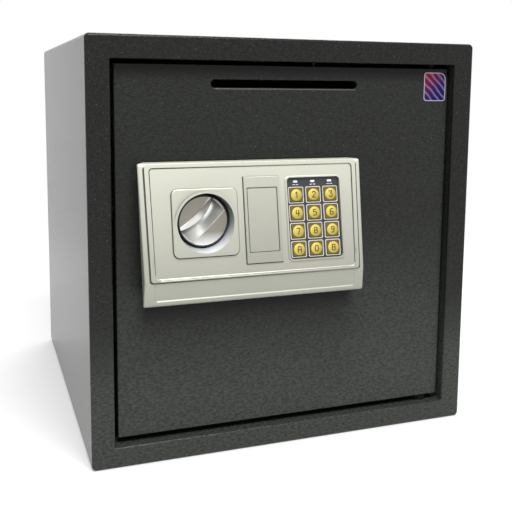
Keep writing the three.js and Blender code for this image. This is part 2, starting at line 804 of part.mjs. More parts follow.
// The bushing lines the hole in the door, with a flange on the front.
function knobBushing() {
  const bore = spindleRadius + runningGap;
  const wall = bore + bushWall;
  const flangeY = bushFrontY + bushFlangeThickness;
  return turned([
    [bore, bushFrontY],
    [wall + bushFlange, bushFrontY],
    [wall + bushFlange, flangeY],
    [wall, flangeY],
    [wall, doorBackY],
    [bore, doorBackY],
    [bore, bushFrontY],
  ], knobX, knobZ);
}

piece('knob_bushing', knobBushing(), blackPlastic);

// Override lock: a tube through the door, a plug that turns in it and a cam on the plug's tail.
const lockBackY = doorBackY + plugBackReach;
const coverBehindFace = (keyCoverThickness - keyCoverProud) / Math.cos(lean);
const faceAtLock = faceReach(lockZ + lockBodyRadius) + wingStep;
const plugFrontY = doorFaceY - faceAtLock + coverBehindFace + plugUnderCover;
const camWidth = 2 * (plugTailRadius + fitGap + camWall);

function overrideBody() {
  const tube = barY(lockBodyRadius, plugFrontY, lockBackY, lockX, lockZ, roundSteps);
  const bore = plugRadius + fitGap;
  return cut(tube, barY(bore, plugFrontY - overrun, lockBackY + overrun, lockX, lockZ, roundSteps));
}

function overridePlug() {
  const plug = joined(
    barY(plugRadius, plugFrontY, lockBackY, lockX, lockZ, roundSteps),
    barY(plugTailRadius, lockBackY - fitGap, lockBackY + plugTailLength, lockX, lockZ));
  const keyhole = block(
    lockX - keyholeWidth / 2, lockX + keyholeWidth / 2, plugFrontY - overrun, plugFrontY + keyholeDepth,
    lockZ - keyholeHeight / 2, lockZ + keyholeHeight / 2);
  return cut(plug, keyhole);
}

function overrideCam() {
  const y0 = lockBackY + fitGap;
  const outline = rectangle(
    lockX - camWidth / 2, lockX + camWidth / 2, lockZ - camReach, lockZ + camWidth / 2, camWidth / 2);
  return cut(
    solidOf(slab(outline, y0, y0 + camThickness)),
    barY(plugTailRadius + fitGap, y0 - overrun, y0 + camThickness + overrun, lockX, lockZ));
}

piece('override_lock_body', overrideBody(), lockBrass);
piece('override_plug', overridePlug(), lockBrass);
piece('override_cam', overrideCam(), zincSteel);

// Solenoid under the carriage; its plunger stands in line with the notches.
const plungerY = carriageY + carriageThickness / 2;

function solenoid() {
  const body = block(
    guideX - solenoidWidth / 2, guideX + solenoidWidth / 2,
    behindDoor, plungerY + solenoidHalfDepth,
    solenoidBottom, solenoidTop);
  const bore = barZ(
    plungerRadius + runningGap, solenoidBottom + plungerSeat - fitGap,
    solenoidTop + overrun, guideX, plungerY);
  return cut(body, bore);
}

piece('solenoid', solenoid(), zincSteel);
piece('solenoid_plunger', barZ(
  plungerRadius, solenoidBottom + plungerSeat, carriageBottom - plungerShort,
  guideX, plungerY), plainSteel);

// Battery box, its lid and the cells
const bayWidth = batteryCount * (2 * batteryRadius + batteryPlay) + batteryPlay;
const bayHeight = batteryLength + batteryNipple + 2 * batteryPlay;
const bayDepth = 2 * batteryRadius + batteryPlay;
const bayRight = coverRight - batteryFromRight;
const bayLeft = bayRight - bayWidth;
const bayBottom = coverBottom + batteryRise;
const bayTop = bayBottom + bayHeight;
const bayBackY = coverBackY - coverSheet - fitGap;
const bayFrontY = bayBackY - bayDepth;

function batteryBox() {
  return cut(
    block(bayLeft - batteryWall, bayRight + batteryWall, bayFrontY - batteryWall, bayBackY,
      bayBottom - batteryWall, bayTop + batteryWall),
    block(bayLeft, bayRight, bayFrontY, bayBackY + overrun, bayBottom, bayTop));
}

piece('battery_box', batteryBox(), blackPlastic);
for (let i = 0; i < batteryCount; i += 1) {
  const x = bayLeft + batteryPlay + batteryRadius + i * (2 * batteryRadius + batteryPlay);
  const y = bayFrontY + batteryRadius + batteryPlay / 2;
  const up = i % 2 === 0;
  const caseBottom = bayBottom + batteryPlay + (up ? 0 : batteryNipple);
  const caseTop = caseBottom + batteryLength;
  const nipple = up
    ? barZ(batteryNippleRadius, caseTop - batteryPlay, caseTop + batteryNipple, x, y)
    : barZ(batteryNippleRadius, caseBottom - batteryNipple, caseBottom + batteryPlay, x, y);
  piece(`battery_${i + 1}`, joined(barZ(batteryRadius, caseBottom, caseTop, x, y), nipple), cellGrey);
}

const lidY = coverBackY + fitGap;
const lidLeft = bayLeft - lidOverlap;
const lidRight = bayRight + lidOverlap;
const lidBottom = bayBottom - lidOverlap;
const lidTop = bayTop + lidOverlap;

// A pressed tray over the works, with tabs for its screws, a window over the cells and two rails.
function lockCover() {
  const tray = cut(
    block(coverLeft, coverRight, behindDoor, coverBackY, coverBottom, coverTop),
    block(coverLeft + coverSheet, coverRight - coverSheet, behindDoor - overrun, coverBackY - coverSheet,
      coverBottom + coverSheet, coverTop - coverSheet));
  const tabs = screwPlaces.map(([x, z]) => {
    const tabHalf = coverTabHeight / 2 + coverSheet / 2;
    const inward = Math.sign(knobZ - z) * coverSheet / 2;
    return block(
      x - coverTabWidth / 2, x + coverTabWidth / 2, behindDoor, behindDoor + coverSheet,
      z + inward - tabHalf, z + inward + tabHalf);
  });
  const railTop = lidY + lidThickness + fitGap + railSheet;
  const rails = [[lidBottom, -1], [lidTop, 1]].flatMap(([z, side]) => {
    const near = z + side * fitGap;
    const far = near + side * railSheet;
    const lip = z - side * railLip;
    return [
      block(
        lidLeft, lidRight, coverBackY - coverSheet / 2, railTop, Math.min(near, far), Math.max(near, far)),
      block(lidLeft, lidRight, railTop - railSheet, railTop, Math.min(lip, far), Math.max(lip, far)),
    ];
  });
  const boltHoles = boltHeights.map((z) =>
    barX(boltRadius + runningGap, coverLeft - overrun, coverLeft + overrun, boltY, z, roundSteps));
  const screwHoles = screwPlaces.map(([x, z]) =>
    barY(screwRadius + fitGap, behindDoor - overrun, behindDoor + overrun, x, z));
  return cut(
    joined(tray, ...tabs, ...rails),
    block(bayLeft, bayRight, coverBackY - overrun, coverBackY + overrun / 2, bayBottom, bayTop),
    barY(resetRadius + runningGap, coverBackY - overrun, coverBackY + overrun, resetX, resetZ),
    ...boltHoles,
    ...screwHoles);
}

const resetX = coverRight - resetFromRight - resetRadius;
const resetZ = coverTop - resetFromTop;

function resetButton() {
  const seat = coverBackY - coverSheet - fitGap;
  return turned([
    [0, seat - resetLength],
    [resetRadius, seat - resetLength],
    [resetRadius, seat - resetFlange],
    [resetRadius + resetFlange, seat - resetFlange],
    [resetRadius + resetFlange, seat],
    [resetRadius, seat],
    [resetRadius, coverBackY + resetProud],
    [0, coverBackY + resetProud],
  ], resetX, resetZ);
}

piece('lock_cover', lockCover(), paint);
piece('battery_lid', block(lidLeft, lidRight, lidY, lidY + lidThickness, lidBottom, lidTop), blackPlastic);
piece('reset_button', resetButton(), buttonRed);
screwPlaces.forEach(([x, z], i) => {
  const headY = behindDoor + coverSheet + fitGap;
  piece(`cover_screw_${i + 1}`, joined(
    barY(screwHeadRadius, headY, headY + screwHeadHeight, x, z),
    barY(screwRadius, doorBackY - screwInDoor, headY + screwHeadHeight / 2, x, z)), plainSteel);
});

// Lock fascia. Its hull is a side profile carried across, narrowed towards the ridge and drawn in
// behind the face, so that its rim overhangs the door.
function fasciaHull(inset, backY0, edge) {
  const stepBack = (wingStep + inset) / Math.cos(lean);
  const shape = roundedOutline([
    [backY0, fasciaBottomZ + baseUndercut + inset, 0],
    [doorFaceY - fasciaBottomReach + lipThickness, fasciaBottomZ + inset],
    [doorFaceY - fasciaBottomReach + inset, fasciaBottomZ + inset],
    [doorFaceY - fasciaRidgeReach + stepBack, ridgeZ],
    [doorFaceY - fasciaTopReach + stepBack, fasciaTopZ - inset],
    [backY0, fasciaTopZ - inset, 0],
  ].reverse(), fasciaCorner - inset);
  const hull = profileAcross(shape, fasciaTopHalf - inset, edge);
  const corners = hull.getAttribute('position');
  for (let i = 0; i < corners.count; i += 1) {
    const x = corners.getX(i);
    const reach = doorFaceY - corners.getY(i);
    const z = corners.getZ(i);
    const narrow = z > ridgeZ
      ? (fasciaTopHalf - fasciaRidgeHalf) * (fasciaTopZ - z) / (fasciaTopZ - ridgeZ)
      : fasciaTopHalf - fasciaRidgeHalf - bandTaperWidth * (ridgeZ - z) / bandHeight;
    const behindRim = Math.max(0, 1 - reach / (faceReach(z) - fasciaEdge));
    corners.setX(i, x - Math.sign(x) * (narrow + sideUndercut * behindRim));
  }
  return solidOf(hull).translate([fasciaX, 0, 0]);
}

// How far the face stands out from the door at a height
function faceReach(z) {
  if (z >= ridgeZ) return fasciaRidgeReach - (z - ridgeZ) * Math.tan(lean) - wingStep;
  const rise = (z - fasciaBottomZ) / bandHeight;
  return fasciaBottomReach + (fasciaRidgeReach - fasciaBottomReach) * rise - wingStep;
}

const inFace = (geometry) => solidOf(geometry.applyMatrix4(faceFrame));

// The raised middle of the face narrows with the fascia.
function facePlate(margin, bottom, top, outward, corner, edge) {
  const bottomHalf = fasciaRidgeHalf - margin;
  const topHalf = fasciaTopHalf - margin;
  const outline = roundedOutline(
    [[-bottomHalf, bottom], [bottomHalf, bottom], [topHalf, top], [-topHalf, top]], corner);
  return inFace(slab(outline, -outward, wingStep + fasciaWall / 2, edge));
}

function lockFascia() {
  const rearY = doorFaceY - fasciaStandoff;
  const hull = fasciaHull(0, rearY, fasciaEdge);
  const room = fasciaHull(fasciaWall, rearY + overrun, 0);
  const plate = facePlate(wingWidth, 0, faceLength - fasciaWall / 2, 0, fasciaEdge / 2, wingStep / 2);
  const inset = facePlate(
    wingWidth + insetMargin, insetMargin / 2, faceLength - insetMargin, insetRaise, insetCorner, insetRaise);
  const bandAngle = Math.atan2(fasciaRidgeReach - fasciaBottomReach, bandHeight);
  const line = new THREE.BoxGeometry(2 * (fasciaRidgeHalf - bandLineMargin), 2 * bandLineRaise, bandLineWidth)
    .rotateX(bandAngle)
    .translate(fasciaX, doorFaceY - faceReach(fasciaBottomZ + bandLineRise), fasciaBottomZ + bandLineRise);
  const pad = inFace(slab(
    rectangle(
      padMiddle - padHalf, padMiddle + padHalf, padRise - padHalf, padRise + padHalf, padCorner),
    -padRaise, wingStep, padRaise / 2));
  const rim = inFace(slab(
    rectangle(
      keypadFrom - keypadRim, keypadFrom + keypadWidth + keypadRim,
      keypadRise - keypadRim, keypadRise + keypadHeight + keypadRim, keypadCorner + keypadRim),
    -keypadRimRaise, wingStep, keypadRimRaise / 2));
  const wellFloorY = doorFaceY - wellFloorHeight;
  const wellRimY = doorFaceY - fasciaRidgeReach;
  const wellOutside = barY(
    wellRimRadius + wellWall, wellRimY, wellFloorY, knobX, knobZ, fineSteps, wellFloorRadius + wellWall);
  const wellInside = barY(
    wellRimRadius, wellRimY, wellFloorY, knobX, knobZ, fineSteps, wellFloorRadius);
  const wellThrough = barY(wellFloorRadius, wellFloorY - wingStep, rearY, knobX, knobZ, fineSteps);
  const bosses = [[-1, -1], [1, -1], [-1, 1], [1, 1]].map(([side, end]) => barY(
    bossRadius, doorFaceY - fasciaRidgeReach, rearY,
    fasciaX + side * (fasciaRidgeHalf - bossInset - sideUndercut),
    fasciaBottomZ + fasciaHeight / 2 + end * (fasciaHeight / 2 - bossInset)));
  const within = (solid) => solid.intersect(hull);
  const coverFrom = keyCoverFrom - fitGap;
  const coverRecess = inFace(slab(
    rectangle(
      coverFrom, keyCoverFrom + keyCoverWidth + fitGap,
      keyCoverRise - fitGap, keyCoverRise + keyCoverHeight + fitGap, fitGap),
    -overrun, keyCoverThickness - keyCoverProud + fitGap));
  const keypadHole = inFace(slab(
    rectangle(
      keypadFrom, keypadFrom + keypadWidth, keypadRise, keypadRise + keypadHeight, keypadCorner),
    -overrun, overrun + fasciaWall));
  return cut(
    joined(
      cut(hull, room),
      plate, inset, solidOf(line), pad, rim,
      within(wellOutside),
      ...bosses.map(within)),
    wellInside, wellThrough, coverRecess, keypadHole,
    barY(lockBodyRadius + runningGap, wellRimY - overrun, rearY, lockX, lockZ, roundSteps));
}

// A dark plate behind the fascia, set in from its rim.
function fasciaBase() {
  const outline = rectangle(
    fasciaX - fasciaRidgeHalf + basePlateInset, fasciaX + fasciaRidgeHalf - basePlateInset,
    fasciaBottomZ + basePlateInset, fasciaTopZ - basePlateInset, insetCorner);
  const back = doorFaceY - fitGap;
  const front = back - basePlateThickness;
  const bushReach = spindleRadius + runningGap + bushWall + bushFlange + fitGap;
  return cut(
    solidOf(slab(outline, front, back)),
    barY(bushReach, front - overrun, back + overrun, knobX, knobZ),
    barY(lockBodyRadius + fitGap, front - overrun, back + overrun, lockX, lockZ, roundSteps));
}

piece('lock_fascia', lockFascia(), silverPlastic);
piece('fascia_base', fasciaBase(), blackPlastic);

// Key cover: a flat cap with a sunk panel, held in its recess by friction.
function keyCover() {
  const x1 = keyCoverFrom + keyCoverWidth;
  const z1 = keyCoverRise + keyCoverHeight;
  const cap = solidOf(slab(
    rectangle(keyCoverFrom, x1, keyCoverRise, z1), -keyCoverProud, keyCoverThickness - keyCoverProud,
    keyCoverGroove / 2));
  const ring = (grow) => rectangle(
    keyCoverFrom + keyCoverInsetSide - grow, x1 - keyCoverInsetSide + grow,
    keyCoverRise + keyCoverInsetEnd - grow, z1 - keyCoverInsetEnd + grow);
  const y1 = keyCoverGroove - keyCoverProud;
  const groove = cut(
    solidOf(slab(ring(0), -overrun, y1)),
    solidOf(slab(ring(-keyCoverGroove), -2 * overrun, overrun)));
  return cut(cap, groove);
}

piece('key_cover', keyCover(), silverPlastic, lockFace);

// Keypad: a dark plate with a hole and a raised bezel for each key.
const keyLabels = ['a', '0', 'b', '7', '8', '9', '4', '5', '6', '1', '2', '3'];
const keyPlaces = keyLabels.map((label, i) => ({
  label,
  x: keypadFrom + keyFirstAcross + (i % 3) * keyPitchAcross,
  z: keypadRise + keyFirstUp + Math.floor(i / 3) * keyPitchUp,
}));
const lampPlaces = keyPlaces.slice(0, 3).map(({ x }) => x);
const lampZ = keypadRise + lampRise;

const squareAt = (x, z, size, corner) =>
  rectangle(x - size / 2, x + size / 2, z - size / 2, z + size / 2, corner);

function keypadPlateSolid() {
  const plate = solidOf(slab(
    rectangle(
      keypadFrom + fitGap, keypadFrom + keypadWidth - fitGap,
      keypadRise + fitGap, keypadRise + keypadHeight - fitGap, keypadCorner - fitGap),
    keypadSink, keypadSink + keypadPlate));
  const bezels = keyPlaces.map(({ x, z }) => solidOf(slab(
    squareAt(x, z, 2 * bezelHalf, keyCorner), keypadSink - bezelRaise, keypadSink + keypadPlate / 2,
    0, 0, cornerSteps)));
  const holes = keyPlaces.map(({ x, z }) => solidOf(slab(
    squareAt(x, z, keySize + 2 * runningGap, 0), keypadSink - overrun, keypadSink + overrun)));
  const windows = lampPlaces.map((x) => block(
    x - lampWidth / 2 - fitGap, x + lampWidth / 2 + fitGap, keypadSink - overrun, keypadSink + overrun,
    lampZ - lampHeight / 2 - fitGap, lampZ + lampHeight / 2 + fitGap));
  return cut(joined(plate, ...bezels), ...holes, ...windows);
}

const keyBackY = keypadSink + keypadPlate + keyStem;
const boardY = keyBackY + boardBelowKeys;

// A key: a square base with a shallow dome.
function keySolid(x, z) {
  const topY = keypadSink - keyProud;
  const base = solidOf(slab(squareAt(x, z, keySize, keyCorner), topY, keyBackY, fitGap, 1, cornerSteps));
  const dome = turned([
    [0, topY - keyDomeHeight],
    [keyDomeRadius * domeShoulderShare, topY - keyDomeHeight * domeRiseShare],
    [keyDomeRadius, topY + fitGap],
    [0, topY + fitGap],
  ], x, z, smallSteps);
  return joined(base, dome);
}

piece('keypad_plate', keypadPlateSolid(), darkPlastic, lockFace);
for (const { label, x, z } of keyPlaces) piece(`key_${label}`, keySolid(x, z), keyBrass, lockFace);
['left', 'middle', 'right'].forEach((side, i) => piece(`status_lamp_${side}`, block(
  lampPlaces[i] - lampWidth / 2, lampPlaces[i] + lampWidth / 2, keypadSink - lampProud, boardY - fitGap,
  lampZ - lampHeight / 2, lampZ + lampHeight / 2), lampPlastic, lockFace));
piece('circuit_board', block(
  keypadFrom - boardMargin, keypadFrom + keypadWidth + boardMargin, boardY, boardY + boardThickness,
  keypadRise - boardMargin, keypadRise + keypadHeight + boardMargin), boardGreen, lockFace);

export default safe;
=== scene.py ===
import json
import math

import bmesh
import bpy
from bpy.props import FloatProperty, FloatVectorProperty, PointerProperty
from mathutils import Matrix, Vector
from mathutils.geometry import tessellate_polygon


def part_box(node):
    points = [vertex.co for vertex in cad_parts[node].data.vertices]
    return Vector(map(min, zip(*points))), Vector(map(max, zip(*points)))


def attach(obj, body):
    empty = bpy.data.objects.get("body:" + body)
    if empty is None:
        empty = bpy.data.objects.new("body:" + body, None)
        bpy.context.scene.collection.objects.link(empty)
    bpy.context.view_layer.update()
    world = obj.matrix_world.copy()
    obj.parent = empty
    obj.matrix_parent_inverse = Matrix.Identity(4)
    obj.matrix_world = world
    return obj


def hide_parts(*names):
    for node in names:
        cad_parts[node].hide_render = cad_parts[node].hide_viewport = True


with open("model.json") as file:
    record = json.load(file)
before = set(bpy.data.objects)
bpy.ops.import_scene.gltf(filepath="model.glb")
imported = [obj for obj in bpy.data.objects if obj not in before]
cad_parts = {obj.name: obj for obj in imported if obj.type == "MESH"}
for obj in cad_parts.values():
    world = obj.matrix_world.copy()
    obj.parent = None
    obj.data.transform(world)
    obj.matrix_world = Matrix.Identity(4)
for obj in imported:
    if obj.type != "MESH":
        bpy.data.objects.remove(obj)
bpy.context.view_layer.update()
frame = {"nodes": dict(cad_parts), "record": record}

bl_info = {
    "name": "Drop safe looks",
    "version": (1, 0, 0),
    "blender": (4, 5, 0),
    "location": "3D View > Sidebar > Drop safe",
    "description": "Fine pieces and finishes for a packed drop safe with a deposit slot and a digital lock",
    "category": "Object",
}

MM = 0.001


def middle_of(node):
    """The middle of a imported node's box."""
    low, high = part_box(node)
    return [(a + b) / 2 for a, b in zip(low, high)]


def in_mm(*values):
    """Several lengths at once, from millimetres."""
    return tuple(value * MM for value in values)


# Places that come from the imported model
CABINET_LOW, CABINET_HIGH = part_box("cabinet_wrap")
DOOR_LOW, DOOR_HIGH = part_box("door_plate")
FASCIA_LOW, FASCIA_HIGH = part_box("lock_fascia")
KNOB_X, _, KNOB_Z = middle_of("knob")
LOCK_X, _, LOCK_Z = middle_of("override_lock_body")
DOOR_Y = DOOR_LOW.y
SLOT_X = middle_of("slot_hood")[0]
SLOT_Z = DOOR_HIGH.z - 15.5 * MM

# The middle of the upper pin's box. It lies 1.5 mm behind the pin's axis, because the box holds a collar.
PIN_X, PIN_Y, _ = middle_of("hinge_pin_upper")

# The lock's face leans back from its ridge, where it stands out furthest. A band lies under the ridge.
BAND_HEIGHT = 20.3 * MM
RIDGE_REACH = 32 * MM
TOP_REACH = 15 * MM
BOTTOM_REACH = 28.5 * MM
FACE_LENGTH = 92.8 * MM
TOP_HALF = 96.2 * MM
RIDGE_HALF = 94.4 * MM
WING_STEP = 1.3 * MM
LEAN = math.asin((RIDGE_REACH - TOP_REACH) / FACE_LENGTH)
FACE_X = (FASCIA_LOW.x + FASCIA_HIGH.x) / 2
RIDGE_Z = FASCIA_LOW.z + BAND_HEIGHT
FACE = Matrix.Translation((FACE_X, DOOR_Y - RIDGE_REACH, RIDGE_Z)) @ Matrix.Rotation(-LEAN, 4, "X")
TURNED_TO_FRONT = Matrix.Rotation(math.radians(90), 4, "X")

# Forms on the face: u runs across it from its middle, v up it from the ridge, and heights stand out of it.
# A margin is the distance from the face's sides. A box holds its left, right, lower and upper side.
BORDER_MARGIN = 4.9 * MM
MOAT_MARGIN = 3.7 * MM
MOAT_FOOT = -0.8 * MM
MOAT_TOP = FACE_LENGTH - 2.3 * MM
MOAT_DEPTH = 2.2 * MM
PANEL_MARGIN = 8.5 * MM
PANEL_FOOT = 2.7 * MM
PANEL_TOP = FACE_LENGTH - 3.5 * MM
PANEL_CORNER = 3 * MM
GROOVE_WIDTH = 0.75 * MM
GROOVE_DEPTH = 0.55 * MM
PAD_U = KNOB_X - FACE_X
PAD_V = (KNOB_Z - RIDGE_Z) / math.cos(LEAN)
PAD_HALF = 27 * MM
KEYPAD_BOX = in_mm(27.3, 75.2, 10.8, 78.5)
KEYPAD_RIM = 1.4 * MM
KEYPAD_PLATE = in_mm(27.6, 74.9, 11.1, 78.2)
COVER_RECESS = in_mm(-11.2, 21.1, 9.3, 80.6)
COVER_BOX = in_mm(-10.5, 20.7, 10.0, 80.3)
COVER_PANEL = in_mm(-8.0, 18.2, 18.6, 71.3)
LAMP_V = 75.15 * MM
PLATE_TOP = -2 * MM

# The knob's grip runs from lower left to upper right. Its foot and its crest are arched lines: each holds
# its place across the grip at the ends, and how far it moves over in the middle.
KNOB_FLAT = 19.8 * MM
GRIP_HALF = 18.2 * MM
GRIP_FOOT = in_mm(-8.6, -0.6)
GRIP_CREST = in_mm(-8.3, 2.3)
GRIP_TOE = 7.4 * MM

# Keys stand in rows of three, from the lower left.
KEY_LABELS = ["a", "0", "b", "7", "8", "9", "4", "5", "6", "1", "2", "3"]
KEY_FIRST = in_mm(35.75, 18.9)
KEY_PITCH = in_mm(15.5, 15)
KEY_HOLE = 12.1 * MM
KEY_HOLE_CORNER = 0.9 * MM
KEY_TOP = PLATE_TOP + 1.0 * MM
DOME_RADIUS = 4.8 * MM
DOME_STEP = 0.2 * MM
DOME_HEIGHT = 0.7 * MM
PRINT_HEIGHT = 0.06 * MM
FIGURE_WIDTH = 2.7 * MM
FIGURE_HEIGHT = 4.7 * MM
STROKE = 0.75 * MM

# Each figure is drawn in strokes on a frame two wide and four high.
UPPER_LOOP = [
    (0.5, 2.1), (0.1, 2.6), (0.1, 3.5), (0.5, 4), (1.5, 4), (1.9, 3.5), (1.9, 2.6), (1.5, 2.1), (0.5, 2.1)]
LOWER_LOOP = [
    (0.5, 2.1), (0, 1.6), (0, 0.5), (0.5, 0), (1.5, 0), (2, 0.5), (2, 1.6), (1.5, 2.1), (0.5, 2.1)]
FIGURES = {
    "0": [[(0.5, 0), (1.5, 0), (2, 0.6), (2, 3.4), (1.5, 4), (0.5, 4), (0, 3.4), (0, 0.6), (0.5, 0)]],
    "1": [[(0.4, 3.3), (1.1, 4), (1.1, 0)]],
    "2": [[(0, 3.4), (0.5, 4), (1.5, 4), (2, 3.5), (2, 2.7), (0, 0), (2, 0)]],
    "3": [[(0, 4), (1.9, 4), (1, 2.4), (1.6, 2.2), (2, 1.7), (2, 0.6), (1.5, 0), (0.5, 0), (0, 0.5)]],
    "4": [[(0.2, 4), (0, 1.6), (2, 1.6)], [(1.7, 4), (1.7, 0)]],
    "5": [[(1.9, 4), (0.1, 4), (0.1, 2.3), (1.4, 2.4), (2, 1.9), (2, 0.6), (1.5, 0), (0, 0)]],
    "6": [[(1.8, 4), (0.7, 4), (0, 3.2), (0, 1.6)], LOWER_LOOP],
    "7": [[(0, 4), (2, 4), (0.8, 0)]],
    "8": [UPPER_LOOP, LOWER_LOOP],
    "9": [UPPER_LOOP, [(1.9, 3.2), (2, 2), (1.7, 0.6), (1.1, 0), (0.3, 0)]],
    "a": [[(0, 0), (0, 3.3), (0.6, 4), (1.4, 4), (2, 3.3), (2, 0)], [(0, 1.7), (2, 1.7)]],
    "b": [
        [(1.4, 2.1), (0, 2.1), (0, 4), (1.4, 4), (1.9, 3.6), (1.9, 2.6), (1.4, 2.1), (2, 1.6), (2, 0.5),
         (1.5, 0), (0, 0), (0, 2.1)]],
}

# Sticker
STICKER_X = 138.1 * MM
STICKER_Z = 311.6 * MM
STICKER_HALF_X = 11.8 * MM
STICKER_HALF_Z = 13.3 * MM
STICKER_CORNER = 3.2 * MM
STICKER_WIDE_CORNER = 7 * MM


def from_screen(red, green, blue):
    """Turns a colour as a screen shows it, 0 to 255, into the linear colour that shaders take."""
    parts = (red / 255, green / 255, blue / 255)
    return tuple(c / 12.92 if c <= 0.04045 else ((c + 0.055) / 1.055) ** 2.4 for c in parts)


def colour(name, description, screen):
    return FloatVectorProperty(
        name=name, description=description, subtype="COLOR", min=0, max=1, default=from_screen(*screen))


def length(name, description, millimetres):
    return FloatProperty(name=name, description=description, default=millimetres * MM, min=0, unit="LENGTH")


class SafeColours(bpy.types.PropertyGroup):
    paint: colour("Paint", "Powder coat on the cabinet and the door", (35, 37, 34))
    silver: colour("Silver", "Silver lacquer on the lock fascia and the key cover", (201, 202, 188))
    satin: colour("Satin metal", "Plated metal of the knob", (152, 148, 138))
    steel: colour("Steel", "Bare bolts, pins and screws", (176, 178, 180))
    # Painted shade: a near black for the pivot pins and their washer, so that they stay dark in the door's
    # gap.
    pin_painted_shade: colour("Blackened steel", "Pivot pins and their washer", (22, 22, 22))
    zinc: colour("Zinc", "Zinc plated carriage and levers", (184, 183, 170))
    brass: colour("Brass", "Body and plug of the key lock", (190, 158, 92))
    plate: colour("Keypad plate", "Dark plate round the keys", (44, 48, 54))
    bezel: colour("Key bezels", "Printed border round each key", (206, 205, 196))
    key: colour("Keys", "Gold lacquer on the keys", (212, 194, 92))
    key_edge: colour("Key edges", "Darker lacquer round the dome of each key", (116, 100, 46))
    ink: colour("Key figures", "Figures on the keys", (54, 24, 12))
    lamp: colour("Lamps", "Windows of the status lamps", (232, 235, 238))
    black: colour("Black plastic", "Battery box, bushing and base plate", (22, 23, 25))
    board: colour("Circuit board", "Board behind the keypad", (31, 91, 56))
    button: colour("Reset button", "Button on the inside of the door", (166, 42, 37))
    cell: colour("Cell wrap", "Film round each battery cell", (70, 76, 84))
    felt: colour("Felt", "Mat on the floor of the cabinet", (44, 45, 47))
    floor: colour("Floor", "Pale floor under the safe", (248, 248, 248))


class SafeSizes(bpy.types.PropertyGroup):
    corner_radius: length("Corner radius", "Round of the cabinet's long corners", 4)
    fold_radius: length("Fold radius", "Round of the fold round the front frame", 2.5)
    sheet: length("Sheet", "Thickness of the cabinet's sheet", 2)
    return_depth: length("Return depth", "Depth of the fold behind the front frame", 22)
    door_edge: length("Door edge", "Round along the edges of the door and of its slot", 0.9)
    slot_width: length("Slot width", "Width of the deposit slot", 132)
    slot_height: length("Slot height", "Height of the deposit slot", 6.8)
    panel_depth: length("Panel depth", "How far the fascia's panel is sunk in its border", 0.9)
    pad_raise: length("Pad raise", "How far the knob's pad stands out of the panel", 1.9)
    grip_crest: length("Grip crest", "Height of the knob's grip over its disc", 9)


class Wire:
    """One output of a node, which takes part in sums as a number does."""

    def __init__(self, nodes, socket):
        self.nodes = nodes
        self.socket = socket

    def _sum(self, operation, *values):
        return self.nodes.node("ShaderNodeMath", {"operation": operation}, dict(enumerate(values)))

    def __add__(self, other):
        return self._sum("ADD", self, other)

    def __radd__(self, other):
        return self._sum("ADD", other, self)

    def __sub__(self, other):
        return self._sum("SUBTRACT", self, other)

    def __rsub__(self, other):
        return self._sum("SUBTRACT", other, self)

    def __mul__(self, other):
        return self._sum("MULTIPLY", self, other)

    def __rmul__(self, other):
        return self._sum("MULTIPLY", other, self)

    def __truediv__(self, other):
        return self._sum("DIVIDE", self, other)

    def __rtruediv__(self, other):
        return self._sum("DIVIDE", other, self)

    def __gt__(self, other):
        return self._sum("GREATER_THAN", self, other)

    def __lt__(self, other):
        return self._sum("LESS_THAN", self, other)

    def abs(self):
        return self._sum("ABSOLUTE", self)

    def clamp(self):
        return self.nodes.node("ShaderNodeClamp", {}, {0: self})


class Nodes:
    """A node tree whose nodes are added by one method."""

    def __init__(self, tree):
        self.tree = tree

    def node(self, kind, settings, values, out=0):
        """Adds a node: its settings first, then a value or a link for each of its sockets."""
        made = self.tree.nodes.new(kind)
        for key, value in settings.items():
            if key == "stops":
                ramp = made.color_ramp
                while len(ramp.elements) < len(value):
                    ramp.elements.new(1)
                for element, (at, tint) in zip(ramp.elements, value):
                    element.position = at
                    element.color = (*tint, 1)
            else:
                setattr(made, key, value)
        for key, value in values.items():
            self.feed(made.inputs[key], value)
        return None if out is None else Wire(self, made.outputs[out])

    def feed(self, socket, value):
        """Links a wire to a socket, or sets the socket to a number, a vector or a colour."""
        if isinstance(value, Wire):
            self.tree.links.new(value.socket, socket)
        elif socket.type == "RGBA":
            socket.default_value = (*value, 1)
        else:
            socket.default_value = value

    def spread(self, value, start, end, kind="LINEAR"):
        """0 where value is at start or before it, 1 where it is at end or past it."""
        return self.node(
            "ShaderNodeMapRange", {"interpolation_type": kind},
            {"Value": value, "From Min": start, "From Max": end})

    def seen(self):
        """1 where the camera, a mirror or glass sees the surface, 0 where it only gives light."""
        rays = [
            self.node("ShaderNodeLightPath", {}, {}, f"Is {ray} Ray")
            for ray in ("Camera", "Glossy", "Transmission")]
        return (rays[0] + rays[1] + rays[2]).clamp()


